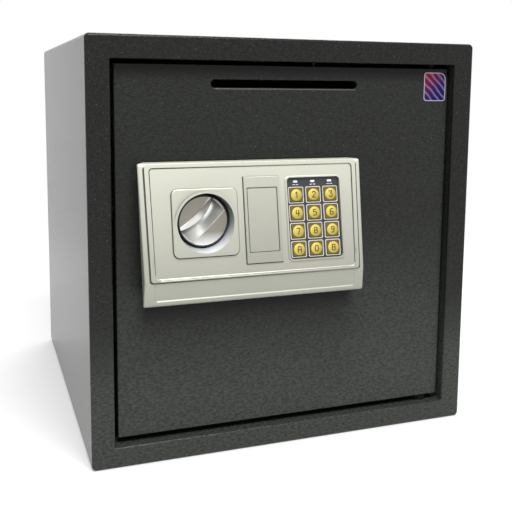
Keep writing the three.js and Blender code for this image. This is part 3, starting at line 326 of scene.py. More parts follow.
class Finish(Nodes):
    """A material on one Principled shader."""

    def __init__(self, name, base, roughness, metallic=0.0, specular=0.5):
        self.material = bpy.data.materials.new(name)
        self.material.use_nodes = True
        super().__init__(self.material.node_tree)
        self.shader = self.tree.nodes["Principled BSDF"]
        self.set("Base Color", base)
        self.set("Roughness", roughness)
        self.set("Metallic", metallic)
        self.set("Specular IOR Level", specular)

    def set(self, name, value):
        self.feed(self.shader.inputs[name], value)

    def place(self):
        """Object coordinates, which are metres in the safe's own frame."""
        return self.node("ShaderNodeTexCoord", {}, {}, "Object")

    def along(self):
        """The three object coordinates as numbers."""
        spot = self.place()
        return [self.node("ShaderNodeSeparateXYZ", {}, {0: spot}, i) for i in range(3)]

    def counted(self, sizes):
        """Object coordinates counted in cells of the given sizes."""
        return self.node(
            "ShaderNodeVectorMath", {"operation": "MULTIPLY"}, {0: self.place(), 1: [1 / s for s in sizes]})

    def noise(self, size, detail=2.0, stretch=(1, 1, 1)):
        """Smooth noise from 0 to 1 whose features are about size metres across."""
        return self.node(
            "ShaderNodeTexNoise", {},
            {"Vector": self.counted([size * s for s in stretch]), "Scale": 1.0, "Detail": detail}, "Fac")

    def specks(self, pitch, radius):
        """A mask of scattered round specks, one to a cell of this pitch. Radius is a share of the cell."""
        far = self.node(
            "ShaderNodeTexVoronoi", {"feature": "F1"},
            {"Vector": self.counted([pitch] * 3), "Scale": 1.0, "Randomness": 1.0}, "Distance")
        return self.spread(far, radius, radius * 0.4, "SMOOTHSTEP")

    def between(self, value, middle, half, fade=1 * MM):
        """A mask that is 1 where value lies within half of middle, and fades to 0 beyond it."""
        return self.spread((value - middle).abs(), half + fade, half)

    def mix(self, share, first, second):
        """A colour between two colours."""
        return self.node(
            "ShaderNodeMix", {"data_type": "RGBA"}, {"Factor": share, 6: first, 7: second}, 2)

    def shaded(self, mask, base, dark, light):
        """The base colour, from a dark share of it where the mask is 0 to a light one where it is 1."""
        return self.mix(mask, shade(base, dark), shade(base, light))

    def layered(self, body, base, *layers):
        """Lays the base colour over body, for each layer through its mask and as light as it says."""
        for mask, lightness in layers:
            body = self.mix(mask, body, shade(base, lightness))
        return body

    def bump(self, height, depth, under=None):
        """Adds relief of depth metres, over an earlier bump where there is one."""
        values = {"Height": height, "Distance": depth, "Strength": 1.0}
        if under is not None:
            values["Normal"] = under
        return self.node("ShaderNodeBump", {}, values)

    def coat(self, body, roughness, grain, swing, depth):
        """Sets the colour, a roughness that grain raises by up to swing, and the grain's relief."""
        self.set("Base Color", body)
        self.set("Roughness", roughness + grain * swing)
        self.set("Normal", self.bump(grain, depth))
        return self


def shade(base, share):
    """The same colour, darker or lighter."""
    return tuple(min(1.0, c * share) for c in base)


def paint_finish(paint):
    """Charcoal powder coat: fine orange peel with painted shade in its hollows, faint clouds, sparse raised
    specks, and painted floor light that makes it lighter low down. The frame is darker above the painted
    floor light. The door carries painted shadow under the frame and under the lock, and a painted highlight
    along the lower rim of its slot."""
    finish = Finish("powder_coat", paint, 0.46, specular=0.18)
    clouds = finish.noise(60 * MM, 3)
    grain = finish.noise(0.9 * MM)
    peel = finish.noise(2.2 * MM, 3, (1.5, 1, 0.8))
    specks = finish.specks(6 * MM, 0.095)
    across, depth, height = finish.along()

    # Painted floor light: the coat is made lighter low down, standing in for light thrown up by the floor.
    painted_floor_light = finish.spread(height + (clouds - 0.5) * (60 * MM), 190 * MM, 50 * MM)
    on_frame = finish.spread(depth, DOOR_Y - 3 * MM, DOOR_Y - 5 * MM)
    over_floor_light = finish.spread(height, 70 * MM, 120 * MM)
    on_door = finish.between(depth, DOOR_Y, 1 * MM) * finish.between(across, 0, 153 * MM)
    # Painted shadow on the door: dark under the lock's foot and under the top of the frame.
    lock_shadow = finish.spread(height, FASCIA_LOW.z - 26 * MM, FASCIA_LOW.z - 9 * MM)
    lock_shadow = lock_shadow * finish.between(across, FACE_X + 3 * MM, TOP_HALF - 6 * MM, 8 * MM)
    lock_shadow = lock_shadow * finish.spread(height, FASCIA_HIGH.z, FASCIA_HIGH.z - 20 * MM)
    frame_shadow = finish.spread(height, DOOR_HIGH.z - 13 * MM, DOOR_HIGH.z - 4 * MM) * 0.8
    painted_shadow = (lock_shadow + frame_shadow) * on_door
    # Painted highlight: a pale line along the lower rim of the slot.
    slot_highlight = finish.between(height, SLOT_Z - 4.0 * MM, 0.45 * MM, 0.35 * MM)
    slot_highlight = slot_highlight * finish.between(across, SLOT_X, 62 * MM, 3 * MM) * on_door

    body = finish.layered(
        finish.shaded(clouds, paint, 0.86, 1.14), paint,
        (painted_floor_light * 0.8, 3.6),
        (on_frame * over_floor_light * 0.75, 0.3),
        # Painted shade in the hollows of the orange peel.
        (finish.spread(peel, 0.62, 0.36) * 0.6, 0.3),
        (finish.spread(grain, 0.4, 0.75) * 0.45, 2.4),
        (specks * 0.85, 5),
        (painted_shadow.clamp(), 0.04),
        (slot_highlight * 0.6, 6))
    finish.set("Base Color", body)
    finish.set("Roughness", 0.13 + grain * 0.12)
    relief = finish.bump(peel * 0.8 + grain * 0.2, 0.5 * MM)
    finish.set("Normal", finish.bump(specks, 0.2 * MM, relief))
    return finish


def silver_finish(name, base):
    """Silver lacquer on moulded plastic: fine flake, faint clouds, and painted shade that makes it darker
    low down.
    """
    finish = Finish(name, base, 0.40, 0.45)
    flake = finish.noise(0.35 * MM)
    clouds = finish.noise(35 * MM)
    height = finish.along()[2]
    # Painted shade: darker towards the lock's foot, lighter at its top.
    painted_low_shade = finish.spread(height + clouds * (12 * MM), FASCIA_HIGH.z, FASCIA_LOW.z)
    body = finish.layered(
        finish.shaded(clouds, base, 0.97, 1.03), base,
        (painted_low_shade, 0.50), (finish.spread(flake, 0.3, 0.7) * 0.25, 0.85))
    finish.set("Base Color", body)
    finish.set("Roughness", 0.36 + flake * 0.10)
    finish.set("Normal", finish.bump(finish.noise(1.4 * MM, 3), 0.012 * MM))
    return finish


def brushed_finish(name, base, roughness, stretch=(1, 1, 1), metallic=1.0, specular=0.5):
    """Metal with short fine strokes along the axis that stretch names."""
    finish = Finish(name, base, roughness, metallic, specular)
    strokes = finish.noise(0.25 * MM, 3, stretch)
    body = finish.shaded(finish.noise(12 * MM, 3), base, 0.9, 1.08)
    body = finish.layered(body, base, (strokes * 0.5, 0.82))
    return finish.coat(body, roughness - 0.06, strokes, 0.12, 0.006 * MM)


def knob_finish(base):
    """Satin metal, painted bright with highlights and reflections on the grip's flank, shoulder and lower
    end.
    """
    finish = Finish("knob_face", base, 0.32, 0.8)

    def rise(value, start, end):
        """0 at start and 1 at end, both in millimetres."""
        return finish.spread(value, start * MM, end * MM)

    x, _, z = finish.along()
    along = (x - KNOB_X + z - KNOB_Z) / math.sqrt(2)
    across = (x - KNOB_X - z + KNOB_Z) / math.sqrt(2)
    arch = (1 - along * along / GRIP_HALF ** 2).clamp()
    beyond = across - (arch * GRIP_CREST[1] + GRIP_CREST[0])
    upper = rise(along, -4, 5)
    lower = rise(along, 1, -12)
    # Painted highlights and reflections: bright on the flank, shoulder, slope, toe step and past the toe,
    # and less bright below the crest.
    flank = (beyond < 0) * rise(beyond, -3.0, -2.3) * (arch > 0)
    shoulder = rise(beyond, 0.25, 0.6) * rise(beyond, 5.2, 2.2) * upper * rise(along, 17, 12)
    on_slope = rise(beyond, 0.3, 0.8) * (across < GRIP_TOE - 0.1 * MM)
    below_crest = rise(beyond, 4.2, 1.8) * rise(along, 4, -1)
    slope = on_slope * (0.2 + lower * 0.16) * (1 - below_crest)
    step = finish.between(across, GRIP_TOE - 0.35 * MM, 0.2 * MM, 0.2 * MM) * 0.5
    past_toe = (across > GRIP_TOE) * rise(z - KNOB_Z, -9, -20) * 0.8
    painted_highlight = (flank * (1.3 - upper * 0.85) + shoulder + slope + step + past_toe).clamp()

    strokes = finish.noise(0.25 * MM, 3)
    body = finish.shaded(finish.noise(12 * MM, 3), base, 0.86, 1.06)
    body = finish.layered(body, base, (strokes * 0.5, 0.82))
    # The white of the painted highlights.
    highlight_white = (0.98, 0.98, 0.96)
    finish.set("Metallic", 0.9 - painted_highlight * 0.6)
    return finish.coat(finish.mix(painted_highlight, body, highlight_white), 0.28, strokes, 0.12, 0.006 * MM)


def well_finish(base):
    """Lacquer on the knob's well: painted shade darkens the upper part, and a painted bluish white highlight
    brightens the lower wall where it looks up.
    """
    finish = Finish("well_painted_light_and_shade", base, 0.35, 0.35)
    x, _, z = finish.along()
    # Painted light and shade: dark in the upper part, bluish white low down.
    low = finish.spread(z - KNOB_Z - (x - KNOB_X) * 0.3, 5 * MM, -21 * MM)
    flake = finish.noise(0.35 * MM)
    body = finish.mix(low, shade(base, 0.22), from_screen(232, 236, 240))
    return finish.coat(finish.layered(body, base, (flake * 0.3, 0.5)), 0.30, flake, 0.10, 0.008 * MM)


def moulded_finish(name, base, roughness):
    """Moulded plastic with a fine spark texture."""
    finish = Finish(name, base, roughness)
    grain = finish.noise(0.5 * MM)
    body = finish.shaded(finish.noise(20 * MM), base, 0.85, 1.18)
    return finish.coat(body, roughness - 0.06, grain, 0.12, 0.02 * MM)


def key_finish(name, base):
    """Lacquer with a fine grain and faint clouds, and painted light that makes the slopes that look up and
    to the left lighter and the others darker.
    """
    finish = Finish(name, base, 0.33, 0.4)
    # Painted light: how far each face turns towards the upper left sets how light it is.
    lean = finish.node("ShaderNodeTexCoord", {}, {}, "Normal")
    light = (-0.5, 0.86 * math.sin(LEAN), 0.86 * math.cos(LEAN))
    painted_light = finish.node(
        "ShaderNodeVectorMath", {"operation": "DOT_PRODUCT"}, {0: lean, 1: light}, "Value")
    grain = finish.noise(0.4 * MM)
    body = finish.shaded(finish.spread(painted_light, -0.16, 0.16), base, 0.6, 1.25)
    body = finish.layered(body, base, (finish.noise(4 * MM) * 0.3, 0.8), (grain * 0.3, 0.7))
    return finish.coat(body, 0.28, grain, 0.12, 0.008 * MM)


def felt_finish(base):
    """Short felt: matted fibres in two scales."""
    finish = Finish("felt", base, 0.95)
    fibres = finish.noise(0.7 * MM, 4, (1, 2.5, 1))
    body = finish.shaded(fibres, base, 0.55, 1.5)
    body = finish.layered(body, base, (finish.noise(6 * MM, 3) * 0.4, 0.8))
    finish.set("Sheen Weight", 0.25)
    return finish.coat(body, 0.85, fibres, 0.15, 0.35 * MM)


def sticker_finish():
    """Printed film: slanting bands from red through purple to blue, with a pale line in a dark edge."""
    edge = from_screen(30, 14, 40)
    finish = Finish("sticker_film", edge, 0.25, specular=0.12)
    x, _, z = finish.along()
    x = x - STICKER_X
    z = z - STICKER_Z
    slant = (x - z) / (46 * MM) + 0.5
    stops = [
        (0.0, from_screen(128, 14, 40)), (0.34, from_screen(84, 16, 56)), (0.52, from_screen(40, 18, 74)),
        (0.72, from_screen(16, 16, 78)), (1.0, from_screen(8, 8, 40))]
    bands = finish.node("ShaderNodeValToRGB", {"stops": stops}, {0: slant})
    phase = (x + z) / (1.15 * MM) + finish.noise(9 * MM, 1) * 3
    wave = finish.node("ShaderNodeMath", {"operation": "SINE"}, {0: phase})
    field = finish.mix(finish.spread(wave, 0.2, 0.7) * 0.22, bands, from_screen(190, 170, 205))

    def past_corner(near, high, radius):
        """Squared distance outwards from where a corner's round begins."""
        beside = (near - STICKER_HALF_X + radius).clamp()
        above = (high - STICKER_HALF_Z + radius).clamp()
        return beside * beside + above * above

    corner = past_corner(x.abs(), z.abs(), STICKER_CORNER)
    wide_corner = past_corner(x, z, STICKER_WIDE_CORNER)

    def margin(inset):
        """A mask of the film's margin, inset metres wide."""
        at_corners = corner > (STICKER_CORNER - inset) ** 2
        return (at_corners + (wide_corner > (STICKER_WIDE_CORNER - inset) ** 2)).clamp()

    line = margin(1.4 * MM) - margin(0.6 * MM)
    body = finish.mix(margin(1.4 * MM), field, edge)
    finish.set("Base Color", finish.mix(line, body, from_screen(158, 152, 164)))
    finish.set("Roughness", 0.2 + finish.noise(3 * MM) * 0.12)
    return finish


FINISHES = {}


def make_finishes(colours):
    """Fills FINISHES with materials: first one for each slot of the record, then those for new pieces."""
    silver = colours.silver
    made = {
        "cabinet_paint": paint_finish(colours.paint),
        "fascia_silver": silver_finish("silver_lacquer", silver),
        "knob_metal": brushed_finish("satin_metal", colours.satin, 0.30),
        "bright_steel": brushed_finish("bright_steel", colours.steel, 0.28, (14, 1, 1)),
        "zinc_steel": brushed_finish("zinc_plate", colours.zinc, 0.40, (1, 1, 10)),
        "lock_brass": brushed_finish("lock_brass", colours.brass, 0.32, (1, 1, 6)),
        "keypad_dark": moulded_finish("keypad_plate", colours.plate, 0.42),
        "key_gold": key_finish("key_gold_lacquer", colours.key),
        "lamp_white": moulded_finish("lamp_window", colours.lamp, 0.30),
        "black_plastic": moulded_finish("black_plastic", colours.black, 0.55),
        "board_green": moulded_finish("board_green", colours.board, 0.45),
        "button_red": moulded_finish("button_red", colours.button, 0.45),
        "cell_wrap": moulded_finish("cell_wrap", colours.cell, 0.35),
        "mat_felt": felt_finish(colours.felt),
        "cover": silver_finish("cover_lacquer", shade(silver, 0.87)),
        # Painted highlight: a lighter copy of the silver for edges that look up.
        "silver_painted_highlight": silver_finish("silver_painted_highlight", shade(silver, 1.45)),
        # Painted light and shade on the knob's well.
        "well": well_finish(silver),
        # Painted shade: a dark copy of the silver for the moat, the grooves and the sunk panel's walls.
        "groove": moulded_finish("groove_shadow", shade(silver, 0.16), 0.6),
        "knob_face": knob_finish(colours.satin),
        # Painted shade on the pivot pins and their washer.
        "pin_painted_shade": brushed_finish("pin_steel_painted_shade", colours.pin_painted_shade, 0.55, (1, 1, 8), 0.0, 0.1),
        "bezel": moulded_finish("bezel_print", colours.bezel, 0.40),
        "key_edge": key_finish("key_edge_lacquer", colours.key_edge),
        "ink": moulded_finish("key_figures", colours.ink, 0.55),
        "sticker": sticker_finish(),
    }
    FINISHES.update({name: finish.material for name, finish in made.items()})


def quarter(steps):
    """Angles from 0 to a quarter turn."""
    return [math.pi / 2 * k / steps for k in range(steps + 1)]


def whole_turn(steps):
    """Angles once round, without the first one again at the end."""
    return [2 * math.pi * k / steps for k in range(steps)]


def offset_outline(points, corner, steps=6):
    """Returns an outline as a function of how far it is grown. Corner is the radius at its points, and a
    point may hold one of its own. They run anticlockwise, and every growth has the same count of points."""
    count = len(points)

    def grown(grow):
        made = []
        for i, point in enumerate(points):
            here = Vector(point[:2])
            before = (here - Vector(points[i - 1][:2])).normalized()
            after = (Vector(points[(i + 1) % count][:2]) - here).normalized()
            n0 = Vector((before.y, -before.x))
            n1 = Vector((after.y, -after.x))
            middle = (n0 + n1) / (1 + n0.dot(n1))
            bend = max((point[2] if len(point) > 2 else corner) + grow, 0.01 * MM)
            centre = here + middle * grow - middle * bend
            a0 = math.atan2(n0.y, n0.x)
            turn = math.atan2(n0.x * n1.y - n0.y * n1.x, n0.dot(n1))
            for k in range(steps + 1):
                a = a0 + turn * k / steps
                made.append((centre.x + bend * math.cos(a), centre.y + bend * math.sin(a)))
        return made

    return grown


def box_outline(x0, x1, z0, z1, corner, steps=6):
    return offset_outline([(x0, z0), (x1, z0), (x1, z1), (x0, z1)], corner, steps)


def middle_outline(x, z, half_x, half_z, corner, steps=4):
    """A box outline round a middle."""
    return box_outline(x - half_x, x + half_x, z - half_z, z + half_z, corner, steps)


def round_outline(x, z, radius, steps):
    def grown(grow):
        bend = radius + grow
        return [(x + bend * math.cos(a), z + bend * math.sin(a)) for a in whole_turn(steps)]

    return grown


def ring_of(mesh, points):
    return [mesh.verts.new(point) for point in points]


def join_rings(mesh, rings, closed=False):
    """Joins rings of equal counts with four sided faces. A ring of one point closes an end."""
    pairs = list(zip(rings, rings[1:]))
    if closed:
        pairs.append((rings[-1], rings[0]))
    for one, other in pairs:
        count = max(len(one), len(other))
        for i in range(count):
            j = (i + 1) % count
            if len(one) == 1:
                mesh.faces.new((one[0], other[j], other[i]))
            elif len(other) == 1:
                mesh.faces.new((one[i], one[j], other[0]))
            else:
                mesh.faces.new((one[i], one[j], other[j], other[i]))


def cap(mesh, loops):
    """Closes flat loops, the first one outside and any others as holes in it."""
    flat = [v for loop in loops for v in loop]
    for a, b, c in tessellate_polygon([[v.co for v in loop] for loop in loops]):
        mesh.faces.new((flat[a], flat[b], flat[c]))


def plate(mesh, outer, holes, front, back, edge=0.0, steps=4, back_edge=0.0, flare=0.0):
    """A plate with holes. Front and back are heights towards the viewer, front the greater one. Edge rounds
    the front rims and back_edge the back rims. Flare widens the front of every outline."""
    levels = []
    if back_edge > 0:
        levels = [
            (back + back_edge * (1 - math.cos(a)), back_edge * (math.sin(a) - 1))
            for a in quarter(steps)[:-1]]
    levels.append((back + back_edge, 0.0))
    for a in quarter(steps) if edge > 0 else [0.0]:
        levels.append((front - edge + edge * math.sin(a), flare + edge * (math.cos(a) - 1)))
    ends = []
    for outline, side in [(outer, 1)] + [(hole, -1) for hole in holes]:
        rings = [ring_of(mesh, [(u, -w, v) for u, v in outline(side * grow)]) for w, grow in levels]
        join_rings(mesh, rings)
        ends.append((rings[0], rings[-1]))
    cap(mesh, [end[0] for end in ends])
    cap(mesh, [end[1] for end in ends])


def turned(mesh, stations, x, z, steps):
    """A form turned about a line along y: radii with their stations. A radius of 0 closes an end."""
    rings = []
    for radius, y in stations:
        angles = whole_turn(steps) if radius else [0.0]
        points = [(x + radius * math.cos(a), y, z + radius * math.sin(a)) for a in angles]
        rings.append(ring_of(mesh, points))
    join_rings(mesh, rings)


def bar(mesh, radius, start, end, x, z, steps):
    """A round bar along y."""
    turned(mesh, [(0, start), (radius, start), (radius, end), (0, end)], x, z, steps)


def piece(name, mesh, finishes, turn=Matrix.Identity(4), angle=30.0, picks=None):
    """Makes an object of a mesh with its faces outwards, smooth except where it folds more than angle. The
    function picks chooses a finish for each face."""
    bmesh.ops.remove_doubles(mesh, verts=mesh.verts, dist=0.002 * MM)
    mesh.transform(turn)
    bmesh.ops.recalc_face_normals(mesh, faces=mesh.faces)
    if picks:
        for face in mesh.faces:
            face.material_index = picks(face)
    data = bpy.data.meshes.new(name)
    mesh.to_mesh(data)
    mesh.free()
    made = bpy.data.objects.new(name, data)
    bpy.context.scene.collection.objects.link(made)
    add_finishes(made, *finishes)
    soften(made, angle)
    return made


def add_finishes(made, *names):
    for name in names:
        made.data.materials.append(FINISHES[name])


def soften(made, angle=30.0):
    """Smooth shading with folds kept sharp, and corner normals led by the large faces."""
    work = bmesh.new()
    work.from_mesh(made.data)
    limit = math.radians(angle)
    for face in work.faces:
        face.smooth = True
    for edge in work.edges:
        edge.smooth = edge.is_manifold and edge.calc_face_angle(0.0) < limit
    work.to_mesh(made.data)
    work.free()
    led = made.modifiers.new("led", "WEIGHTED_NORMAL")
    led.keep_sharp = True
    led.weight = 80


def keep_finishes(data):
    """Gives faces that a bare tool left without a finish the first one, and drops the empty places."""
    finishes = [finish for finish in data.materials if finish]
    places = [finishes.index(finish) if finish else 0 for finish in data.materials] or [0]
    picked = [places[min(face.material_index, len(places) - 1)] for face in data.polygons]
    data.materials.clear()
    for finish in finishes:
        data.materials.append(finish)
    for face, place in zip(data.polygons, picked):
        face.material_index = place


def carved(made, others, operation="DIFFERENCE"):
    """Cuts other solids out of an object, or joins them to it, and drops them."""
    made.modifiers.clear()
    for other in others:
        step = made.modifiers.new("carve", "BOOLEAN")
        step.operation = operation
        step.solver = "MANIFOLD"
        step.object = other
    shown = made.evaluated_get(bpy.context.evaluated_depsgraph_get())
    data = bpy.data.meshes.new_from_object(shown)
    keep_finishes(data)
    made.modifiers.clear()
    old = made.data
    made.data = data
    data.name = made.name
    bpy.data.meshes.remove(old)
    for other in others:
        gone = other.data
        bpy.data.objects.remove(other)
        bpy.data.meshes.remove(gone)
    soften(made)
    return made


def solid(build, turn=Matrix.Identity(4)):
    """A bare solid for carving, from a function that fills a mesh."""
    mesh = bmesh.new()
    build(mesh)
    return piece("tool", mesh, [], turn)


def on_face(outline, front, back, edge=0.0, flare=0.0, turn=FACE):
    """A bare solid on the lock's face, between two heights over it."""
    return solid(lambda tool: plate(tool, outline, [], front, back, edge, flare=flare), turn)


def groove_round(outline, outside, inside, top, depth):
    """A bare solid for cutting a narrow groove along an outline on the lock's face."""
    return solid(
        lambda tool: plate(
            tool, lambda grow: outline(outside + grow), [lambda grow: outline(inside + grow)],
            top + 0.2 * MM, top - depth),
        FACE)


def faces_on_lock(made):
    """Each face of a piece, with its middle across, out of and up the lock's face, and if it looks up."""
    inward = FACE.inverted()
    turn = inward.to_3x3()
    for face in made.data.polygons:
        spot = inward @ face.center
        lean = turn @ face.normal
        yield face, spot.x, -spot.y, spot.z, lean.z > 0.3 and lean.y < 0.25


def carry(made, body, slot, *nodes):
    """A finished piece rides on its body and stands for its CAD nodes. Its slot is not used."""
    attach(made, body)
    if nodes:
        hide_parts(*nodes)


class SAFE_OT_finishes(bpy.types.Operator):
    """Makes the paints, metals and plastics"""

    bl_idname = "safe.finishes"
    bl_label = "Finishes"

    def execute(self, context):
        make_finishes(context.scene.safe_colours)
        return {"FINISHED"}


class SAFE_OT_works(bpy.types.Operator):
    """Gives the pieces that keep their CAD shape their finishes"""

    bl_idname = "safe.works"
    bl_label = "Works"

    def execute(self, context):
        for part in frame["record"]["subparts"]:
            node = frame["nodes"][part["node"]]
            node.data.materials.clear()
            add_finishes(node, part["material_slot"])
        # Painted shade: the pivot pins and their washer are made near black so that they stay dark in the
        # door's gap.
        for name in ("hinge_pin_upper", "hinge_pin_lower", "hinge_washer"):
            frame["nodes"][name].data.materials[0] = FINISHES["pin_painted_shade"]
        return {"FINISHED"}


class SAFE_OT_cabinet(bpy.types.Operator):
    """Folds the cabinet's sheet with its front frame and return, and cuts the back plate"""

    bl_idname = "safe.cabinet"
    bl_label = "Cabinet"

    def execute(self, context):
        sizes = context.scene.safe_sizes
        low, high = CABINET_LOW, CABINET_HIGH
        side = 19 * MM
        sill = 17.5 * MM
        bend = 1.6 * MM
        steps = 8
        fold = sizes.fold_radius
        sheet = sizes.sheet
        skin = box_outline(low.x, high.x, low.z, high.z, sizes.corner_radius, steps)
        opening = box_outline(low.x + side, high.x - side, sill, high.z - side, corner=0.8 * MM, steps=steps)
        rings = [(high.y, skin, 0.0)]
        rings += [(low.y + fold * (1 - math.sin(a)), skin, fold * (math.cos(a) - 1)) for a in quarter(8)]
        rings += [(low.y + bend * (1 - math.cos(a)), opening, bend * (1 - math.sin(a))) for a in quarter(6)]
        rings += [
            (low.y + sizes.return_depth, opening, 0.0),
            (low.y + sizes.return_depth, opening, sheet),
            (low.y + sheet, opening, sheet),
            (low.y + sheet, skin, -sheet),
            (high.y, skin, -sheet),
        ]
        mesh = bmesh.new()
        made = [ring_of(mesh, [(x, y, z) for x, z in outline(grow)]) for y, outline, grow in rings]
        join_rings(mesh, made, closed=True)
        wrap = piece("cabinet_shell", mesh, ["cabinet_paint"])

        def pin_holes(tool):
            near, far, radius = 10 * MM, 25 * MM, 4.4 * MM
            for start, end in ((low.z + near, low.z + far), (high.z - far, high.z - near)):
                bar(tool, radius, start, end, PIN_X, -PIN_Y, steps=48)

        carved(wrap, [solid(pin_holes, TURNED_TO_FRONT)])
        carry(wrap, "cabinet", "cabinet_paint", "cabinet_wrap")

        low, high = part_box("back_panel")
        anchor_x, anchor_z, anchor_radius = 90 * MM, 250 * MM, 5 * MM
        mesh = bmesh.new()
        outline = box_outline(low.x, high.x, low.z, high.z, corner=2 * MM, steps=steps)
        holes = [round_outline(x, anchor_z, anchor_radius, steps=64) for x in (-anchor_x, anchor_x)]
        plate(mesh, outline, holes, -low.y, -high.y, edge=0.2 * MM, steps=3, back_edge=0.4 * MM)
        carry(piece("back_plate", mesh, ["cabinet_paint"]), "cabinet", "cabinet_paint", "back_panel")
        return {"FINISHED"}


class SAFE_OT_door(bpy.types.Operator):
    """Makes the door plate with its deposit slot"""

    bl_idname = "safe.door"
    bl_label = "Door"

    def execute(self, context):
        sizes = context.scene.safe_sizes
        low, high = DOOR_LOW, DOOR_HIGH
        leaf = box_outline(low.x, high.x, low.z, high.z, corner=1.0 * MM)
        rise = sizes.slot_height / 2
        holes = [
            middle_outline(SLOT_X, SLOT_Z, sizes.slot_width / 2, rise, corner=rise, steps=12),
            round_outline(KNOB_X, KNOB_Z, radius=8.7 * MM, steps=64),
            round_outline(LOCK_X, LOCK_Z, radius=7.3 * MM, steps=64),
        ]
        mesh = bmesh.new()
        plate(mesh, leaf, holes, -low.y, -high.y, sizes.door_edge, back_edge=0.3 * MM)
        door = piece("door_leaf", mesh, ["cabinet_paint"])

        def screw_holes(tool):
            radius = 2.3 * MM
            for i in range(1, 5):
                x, _, z = middle_of(f"cover_screw_{i}")
                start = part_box(f"cover_screw_{i}")[0].y - 0.3 * MM
                bar(tool, radius, start, high.y + 2 * MM, x, z, steps=32)

        carved(door, [solid(screw_holes)])
        carry(door, "door", "cabinet_paint", "door_plate")
        return {"FINISHED"}


def face_reach(z):
    """How far the fascia's wings stand out from the door at a height."""
    if z >= RIDGE_Z:
        return RIDGE_REACH - (z - RIDGE_Z) * math.tan(LEAN) - WING_STEP
    rise = (z - FASCIA_LOW.z) / BAND_HEIGHT
    return BOTTOM_REACH + (RIDGE_REACH - BOTTOM_REACH) * rise - WING_STEP


def fascia_hull(mesh, inset, back, edge):
    """The fascia's outside or inside: a side profile carried across, narrowed towards the ridge and drawn
    in behind the rim."""
    bottom = FASCIA_LOW.z + inset
    top = FASCIA_HIGH.z
    sunk = (WING_STEP + inset) / math.cos(LEAN)
    base_undercut = 5 * MM
    side_undercut = 7 * MM
    rim = 2.4 * MM
    band_taper = 0.7 * MM
    profile = offset_outline([
        (-back, FASCIA_LOW.z + base_undercut + inset, 0.0),
        (-(DOOR_Y - BOTTOM_REACH + 6 * MM), bottom, 4 * MM),
        (-(DOOR_Y - BOTTOM_REACH + inset), bottom, 3 * MM),
        (-(DOOR_Y - RIDGE_REACH + sunk), RIDGE_Z, 3 * MM),
        (-(DOOR_Y - TOP_REACH + sunk), top - inset, 3 * MM),
        (-back, top - inset, 0.0),
    ], 0.0, 8)

    half = TOP_HALF - inset
    flat_half = half - edge
    sides = [(flat_half + edge * math.sin(a), edge * (1 - math.cos(a))) for a in quarter(8)]
    spans = 24
    across = [(-x, cut) for x, cut in reversed(sides)]
    across += [(flat_half * (2 * i / spans - 1), 0.0) for i in range(1, spans)]
    across += sides
    rings = []
    for x, cut in across:
        ring = []
        for out, z in profile(-cut):
            y = min(-out, back)
            if z > RIDGE_Z:
                narrow = (TOP_HALF - RIDGE_HALF) * (top - z) / (top - RIDGE_Z)
            else:
                narrow = TOP_HALF - RIDGE_HALF - band_taper * (RIDGE_Z - z) / BAND_HEIGHT
            behind = max(0.0, 1 - (DOOR_Y - y) / (face_reach(z) - rim))
            share = (narrow + side_undercut * behind) / half
            ring.append(mesh.verts.new((FACE_X + x * (1 - share), y, z)))
        rings.append(ring)
    join_rings(mesh, rings)
    mesh.faces.new(rings[0])
    mesh.faces.new(rings[-1])


def face_outline(margin, foot, top, corner, steps=8):
    """An outline on the lock's face whose sides keep a margin from the face's own, which spread upwards."""
    low_half = RIDGE_HALF - margin
    high_half = TOP_HALF - margin
    return offset_outline(
        [(-low_half, foot), (low_half, foot), (high_half, top), (-high_half, top)], corner, steps)


